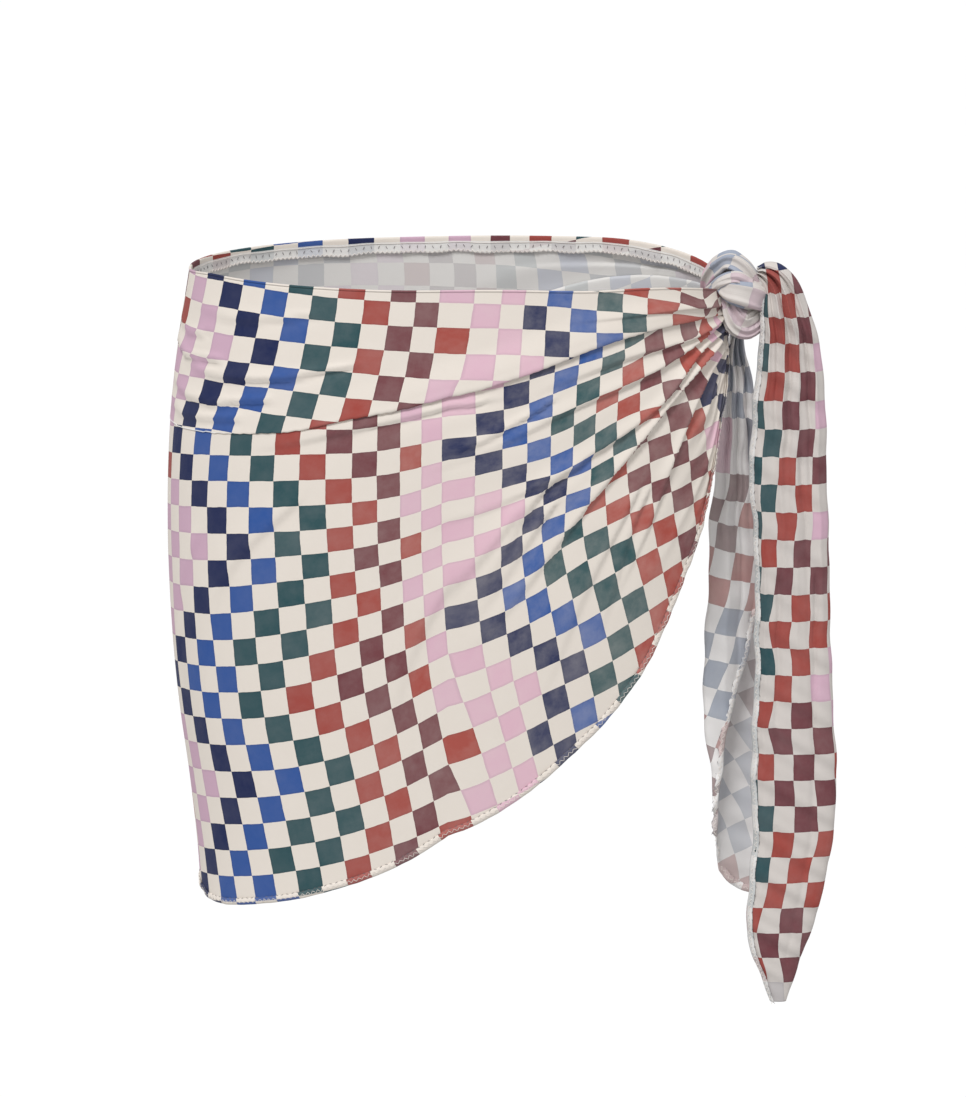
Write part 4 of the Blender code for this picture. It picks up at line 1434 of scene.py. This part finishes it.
def short_tail():
    """The folded short end: front layer from its hem at the right to the fold at the left, then the back."""
    place = np.linspace(0, 1, SHORT_AROUND)
    end = read(place, SHORT_END["place"], SHORT_END["height"])
    top = SHORT_TAIL["height"][0]
    z = top + (end - top) * np.linspace(0, 1, SHORT_ROWS)[:, None]
    part = {n: read(-z, -SHORT_TAIL["height"], SHORT_TAIL[n]) for n in SHORT_TAIL if n != "height"}
    start, round_ = SHORT_TURN
    turn = np.radians(start - round_ * place)
    lean = (1 + np.cos(turn)) / 2
    x = part["fold"] * (1 - lean) + part["edge"] * lean
    y = part["fold_depth"] * (1 - lean) + part["edge_depth"] * lean
    y = y + part["half_thick"] * flat_fold(turn, SHORT_FLATNESS)
    front = turn > -np.pi
    spots = thin_plate(SHORT_PRINT, on_face)
    here = spots(x * MILLIMETRES, z * MILLIMETRES)
    fold = spots(part["fold"] * MILLIMETRES, z * MILLIMETRES)
    here = np.where(front[..., None], here, 2 * fold - here + BACK_LAYER_SHIFT)
    y = y - lengthwise(lean, z, SHORT_FOLDS) * np.where(front, 1.0, -SHORT_BEHIND)
    y = y + SHORT_FACE_WAVE * uneven_wave(z + 0.5 * x, (0.017, 0.029, 0.043), 31)
    x = x + SHORT_SIDE_WAVE * uneven_wave(z, (0.037, 0.061, 0.101), 32)
    return np.stack([x, y, z], -1), here


# The brighter ground here is painted light.
short_check = print_group("short_check", SHORT_STRIPES, None, "painted_light_ground", 0.0)
short_cloth = cloth_material("short_end_cloth", short_check, 0.32, crinkle=0.0008)
short_inner = cloth_material("short_end_inner", short_check, 0.60, crinkle=0.0008)
short_points, short_places = short_tail()
layers = [short_cloth, short_inner]
short_end = grid_object("short_tail_cloth", short_points, short_places, layers, flip=True)
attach(short_end, "root")
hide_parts("short_tail")
end_hem(
    "short",
    (short_points[-1], short_points[-6]),
    short_places[-1],
    LOWER_HEM,
    cloth_material("short_end_hem_cloth", short_check, 0.60),
    zigzag=(0.0021, 0.0032),
    whip=(0.0046, 0.0024),
    flip=True,
)
print("the short end has", len(short_end.data.polygons), "faces")

# %% [markdown]
# ## The knot
# Four stretches of wound cloth make the knot: a hood that comes up from behind and over the top, a turn of
# cloth inside it, a band across the middle, and a pleated lump below. Each is swept along a bent middle
# line. Its section is an oval with pleats pressed into it, which twist a little from one end to the other.

# %% The knot's stretches
# The middle line's places, and the section's half height and half depth there.
KNOT = {
    "knot_hood": (
        (0.1650, -0.0090, -0.0110, 0.0030, 0.0050),
        (0.1668, -0.0170, -0.0035, 0.0044, 0.0085),
        (0.1722, -0.0250, 0.0045, 0.0056, 0.0110),
        (0.1802, -0.0310, 0.0090, 0.0060, 0.0125),
        (0.1878, -0.0340, 0.0056, 0.0062, 0.0125),
        (0.1940, -0.0345, -0.0020, 0.0056, 0.0105),
        (0.1985, -0.0340, -0.0110, 0.0036, 0.0070),
    ),
    "knot_inner": (
        (0.1655, -0.0200, -0.0125, 0.0020, 0.0040),
        (0.1695, -0.0300, -0.0080, 0.0036, 0.0080),
        (0.1762, -0.0372, -0.0015, 0.0046, 0.0100),
        (0.1845, -0.0405, 0.0010, 0.0046, 0.0100),
        (0.1925, -0.0395, -0.0030, 0.0036, 0.0080),
    ),
    "knot_wrap": (
        (0.1750, -0.0330, -0.0065, 0.0030, 0.0060),
        (0.1798, -0.0368, -0.0080, 0.0068, 0.0115),
        (0.1862, -0.0395, -0.0090, 0.0092, 0.0140),
        (0.1930, -0.0390, -0.0108, 0.0098, 0.0135),
        (0.1985, -0.0360, -0.0132, 0.0082, 0.0105),
        (0.2018, -0.0315, -0.0160, 0.0035, 0.0060),
    ),
    "knot_bulge": (
        (0.1770, -0.0330, -0.0130, 0.0035, 0.0060),
        (0.1800, -0.0350, -0.0210, 0.0070, 0.0100),
        (0.1845, -0.0360, -0.0275, 0.0100, 0.0125),
        (0.1900, -0.0360, -0.0300, 0.0104, 0.0125),
        (0.1955, -0.0345, -0.0275, 0.0085, 0.0105),
        (0.1995, -0.0325, -0.0230, 0.0040, 0.0060),
    ),
}
# How many pleats each has, how deep they are, and how far they twist.
KNOT_PLEATS = {
    "knot_hood": (7, 0.24, 0.7),
    "knot_inner": (4, 0.26, 0.5),
    "knot_wrap": (7, 0.13, 0.4),
    "knot_bulge": (15, 0.22, 1.0),
}
KNOT_STRIPES = (
    ("maroon", ((0, -9), (9, -9))),
    ("pink", ((0, 0), (9, 0))),
    ("slate", ((0, 2), (9, 2))),
    ("mauve", ((0, 4), (9, 4))),
    ("pink", ((0, 5), (9, 5))),
    ("slate", ((0, 7), (9, 7))),
    ("mauve", ((0, 10), (9, 10))),
)
print("stretches of the knot:", ", ".join(KNOT))

# %% [markdown]
# The sweep carries its section along the middle line, with one side of it always turned to the back. A
# pleat is a flat facet that tilts up and then drops sharply behind its edge. The pleats fade at both ends,
# where the cloth goes out of sight. The seam of the sweep is merged and its ends are closed with faces.

# %% A pleated sweep
KNOT_ALONG = 90
KNOT_AROUND = 140
# The share of a pleat that tilts up, before it drops.
FACET = 0.88
# How boxy the section is: 1 is round.
BOXY = 0.62
KNOT_SQUARE = 0.0128
SQUARES_ROUND = 5.0


def rolled_edge(phase):
    """A pleat's height, 0 to 1, at a phase of which each whole number is one pleat."""
    part = phase % 1.0
    return np.where(part < FACET, part / FACET, 1 - (part - FACET) / (1 - FACET))


def pleated_lump(name):
    """A closed sweep of pleated cloth, and its print places: along the sweep and round it."""
    rows = np.array(KNOT[name])
    at = np.arange(len(rows), dtype=float)
    t = np.linspace(0, len(rows) - 1, KNOT_ALONG)
    x, y, z, high, deep = (read(t, at, rows[:, i]) for i in range(5))
    middle = np.stack([x, y, z], -1)
    along = np.gradient(middle, axis=0)
    along /= np.linalg.norm(along, axis=1)[:, None]
    back = np.array((0.0, 1.0, 0.0)) - along * along[:, 1:2]
    back /= np.linalg.norm(back, axis=1)[:, None]
    up = np.cross(along, back)
    count, depth, twist = KNOT_PLEATS[name]
    turn = np.linspace(0, 2 * np.pi, KNOT_AROUND)[None]
    share = np.linspace(0, 1, KNOT_ALONG)[:, None]
    sway = 0.10 * np.sin(2 * turn + 1) + 0.06 * np.sin(3 * turn + 7 * share)
    held = smooth(np.minimum(share, 1 - share) * 8)
    uneven = depth * (1 + 0.5 * np.sin(5 * turn + 2 * share + count))
    phase = count * turn / (2 * np.pi) + twist * (share - 0.5) + sway
    pressed = 1 - uneven * (1 - rolled_edge(phase)) * held
    section = [np.sign(f(turn)) * np.abs(f(turn)) ** BOXY for f in (np.cos, np.sin)]
    points = (
        middle[:, None]
        + up[:, None] * (high[:, None] * section[0] * pressed)[..., None]
        + back[:, None] * (deep[:, None] * section[1] * pressed)[..., None]
    )
    run = run_length(middle)[:, None] / KNOT_SQUARE
    round_ = turn / (2 * np.pi) * SQUARES_ROUND
    return points, np.stack([run + 0 * turn, round_ + 0 * run], -1)


def close_ends(obj):
    """Merge the seam of a sweep, and close its two ends with a fan of faces."""
    cage = bmesh.new()
    cage.from_mesh(obj.data)
    bmesh.ops.remove_doubles(cage, verts=cage.verts, dist=1e-6)
    bmesh.ops.holes_fill(cage, edges=cage.edges, sides=0)
    ends = [f for f in cage.faces if len(f.verts) > 4]
    bmesh.ops.triangulate(cage, faces=ends)
    bmesh.ops.recalc_face_normals(cage, faces=cage.faces)
    cage.to_mesh(obj.data)
    cage.free()


print("points round a stretch and along it:", KNOT_AROUND, KNOT_ALONG)

# %% [markdown]
# Each stretch is one closed piece with the same finish, and its check starts elsewhere, so that no two
# stretches look alike. The inner turn of cloth has no CAD node of its own, so it replaces none.

# %% Knot
# The knot's ground is the greyer cream: painted shade for the shade in the wound cloth.
knot_check = print_group("knot_check", KNOT_STRIPES, None, "shaded_cream", 0.0)
knot_cloth = cloth_material("knot_cloth", knot_check, 0.10, crinkle=0.0008)
# Where the check starts on each stretch, along it and round it.
KNOT_SHIFT = {
    "knot_hood": (0.0, 0.3),
    "knot_inner": (1.6, 0.5),
    "knot_wrap": (2.6, 0.8),
    "knot_bulge": (11.4, 0.3),
}
for name in KNOT:
    points, places = pleated_lump(name)
    shifted = places + np.array(KNOT_SHIFT[name])
    piece = grid_object(name + "_cloth", points, shifted, [knot_cloth], thickness=0)
    close_ends(piece)
    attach(piece, "root")
    if name != "knot_inner":
        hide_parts(name)
print(len(KNOT), "stretches of cloth in the knot")

# %% [markdown]
# ## Floor, light and finish
# A plain pale floor well below the hanging cloth, an even white surround, and one large soft sun from the
# upper left in front, with a weak one from the right.

# %% Floor and light
FLOOR_HEIGHT = -1.5
FLOOR_HALF = 20.0
SURROUND = 0.56
corners = [(x, y, FLOOR_HEIGHT) for x, y in ((-1, -1), (1, -1), (1, 1.5), (-1, 1.5))]
floor_mesh = bpy.data.meshes.new("floor")
floor_mesh.from_pydata([(x * FLOOR_HALF, y * FLOOR_HALF, z) for x, y, z in corners], [], [(0, 1, 2, 3)])
floor = bpy.data.objects.new("floor", floor_mesh)
bpy.context.scene.collection.objects.link(floor)
pale_floor = bpy.data.materials.new("pale_floor")
pale_floor.use_nodes = True
floor_shader = pale_floor.node_tree.nodes["Principled BSDF"]
floor_shader.inputs["Base Color"].default_value = (0.95, 0.95, 0.95, 1)
floor_shader.inputs["Roughness"].default_value = 0.9
floor_mesh.materials.append(pale_floor)
floor.visible_diffuse = False

world = bpy.data.worlds.new("studio")
world.use_nodes = True
surround = world.node_tree.nodes["Background"].inputs
surround["Color"].default_value = (1, 1, 1, 1)
surround["Strength"].default_value = SURROUND
bpy.context.scene.world = world
bpy.context.scene.view_settings.view_transform = "Standard"


def sun(name, power, angle, azimuth, height):
    """A soft sun; its azimuth and height are in degrees, seen from the garment."""
    light = bpy.data.lights.new(name, "SUN")
    light.energy = power
    light.angle = math.radians(angle)
    lamp = bpy.data.objects.new(name, light)
    lamp.rotation_euler = (math.radians(90 - height), 0, math.radians(azimuth))
    bpy.context.scene.collection.objects.link(lamp)


sun("key", power=2.05, angle=18, azimuth=-22, height=50)
sun("fill", power=0.2, angle=60, azimuth=50, height=30)
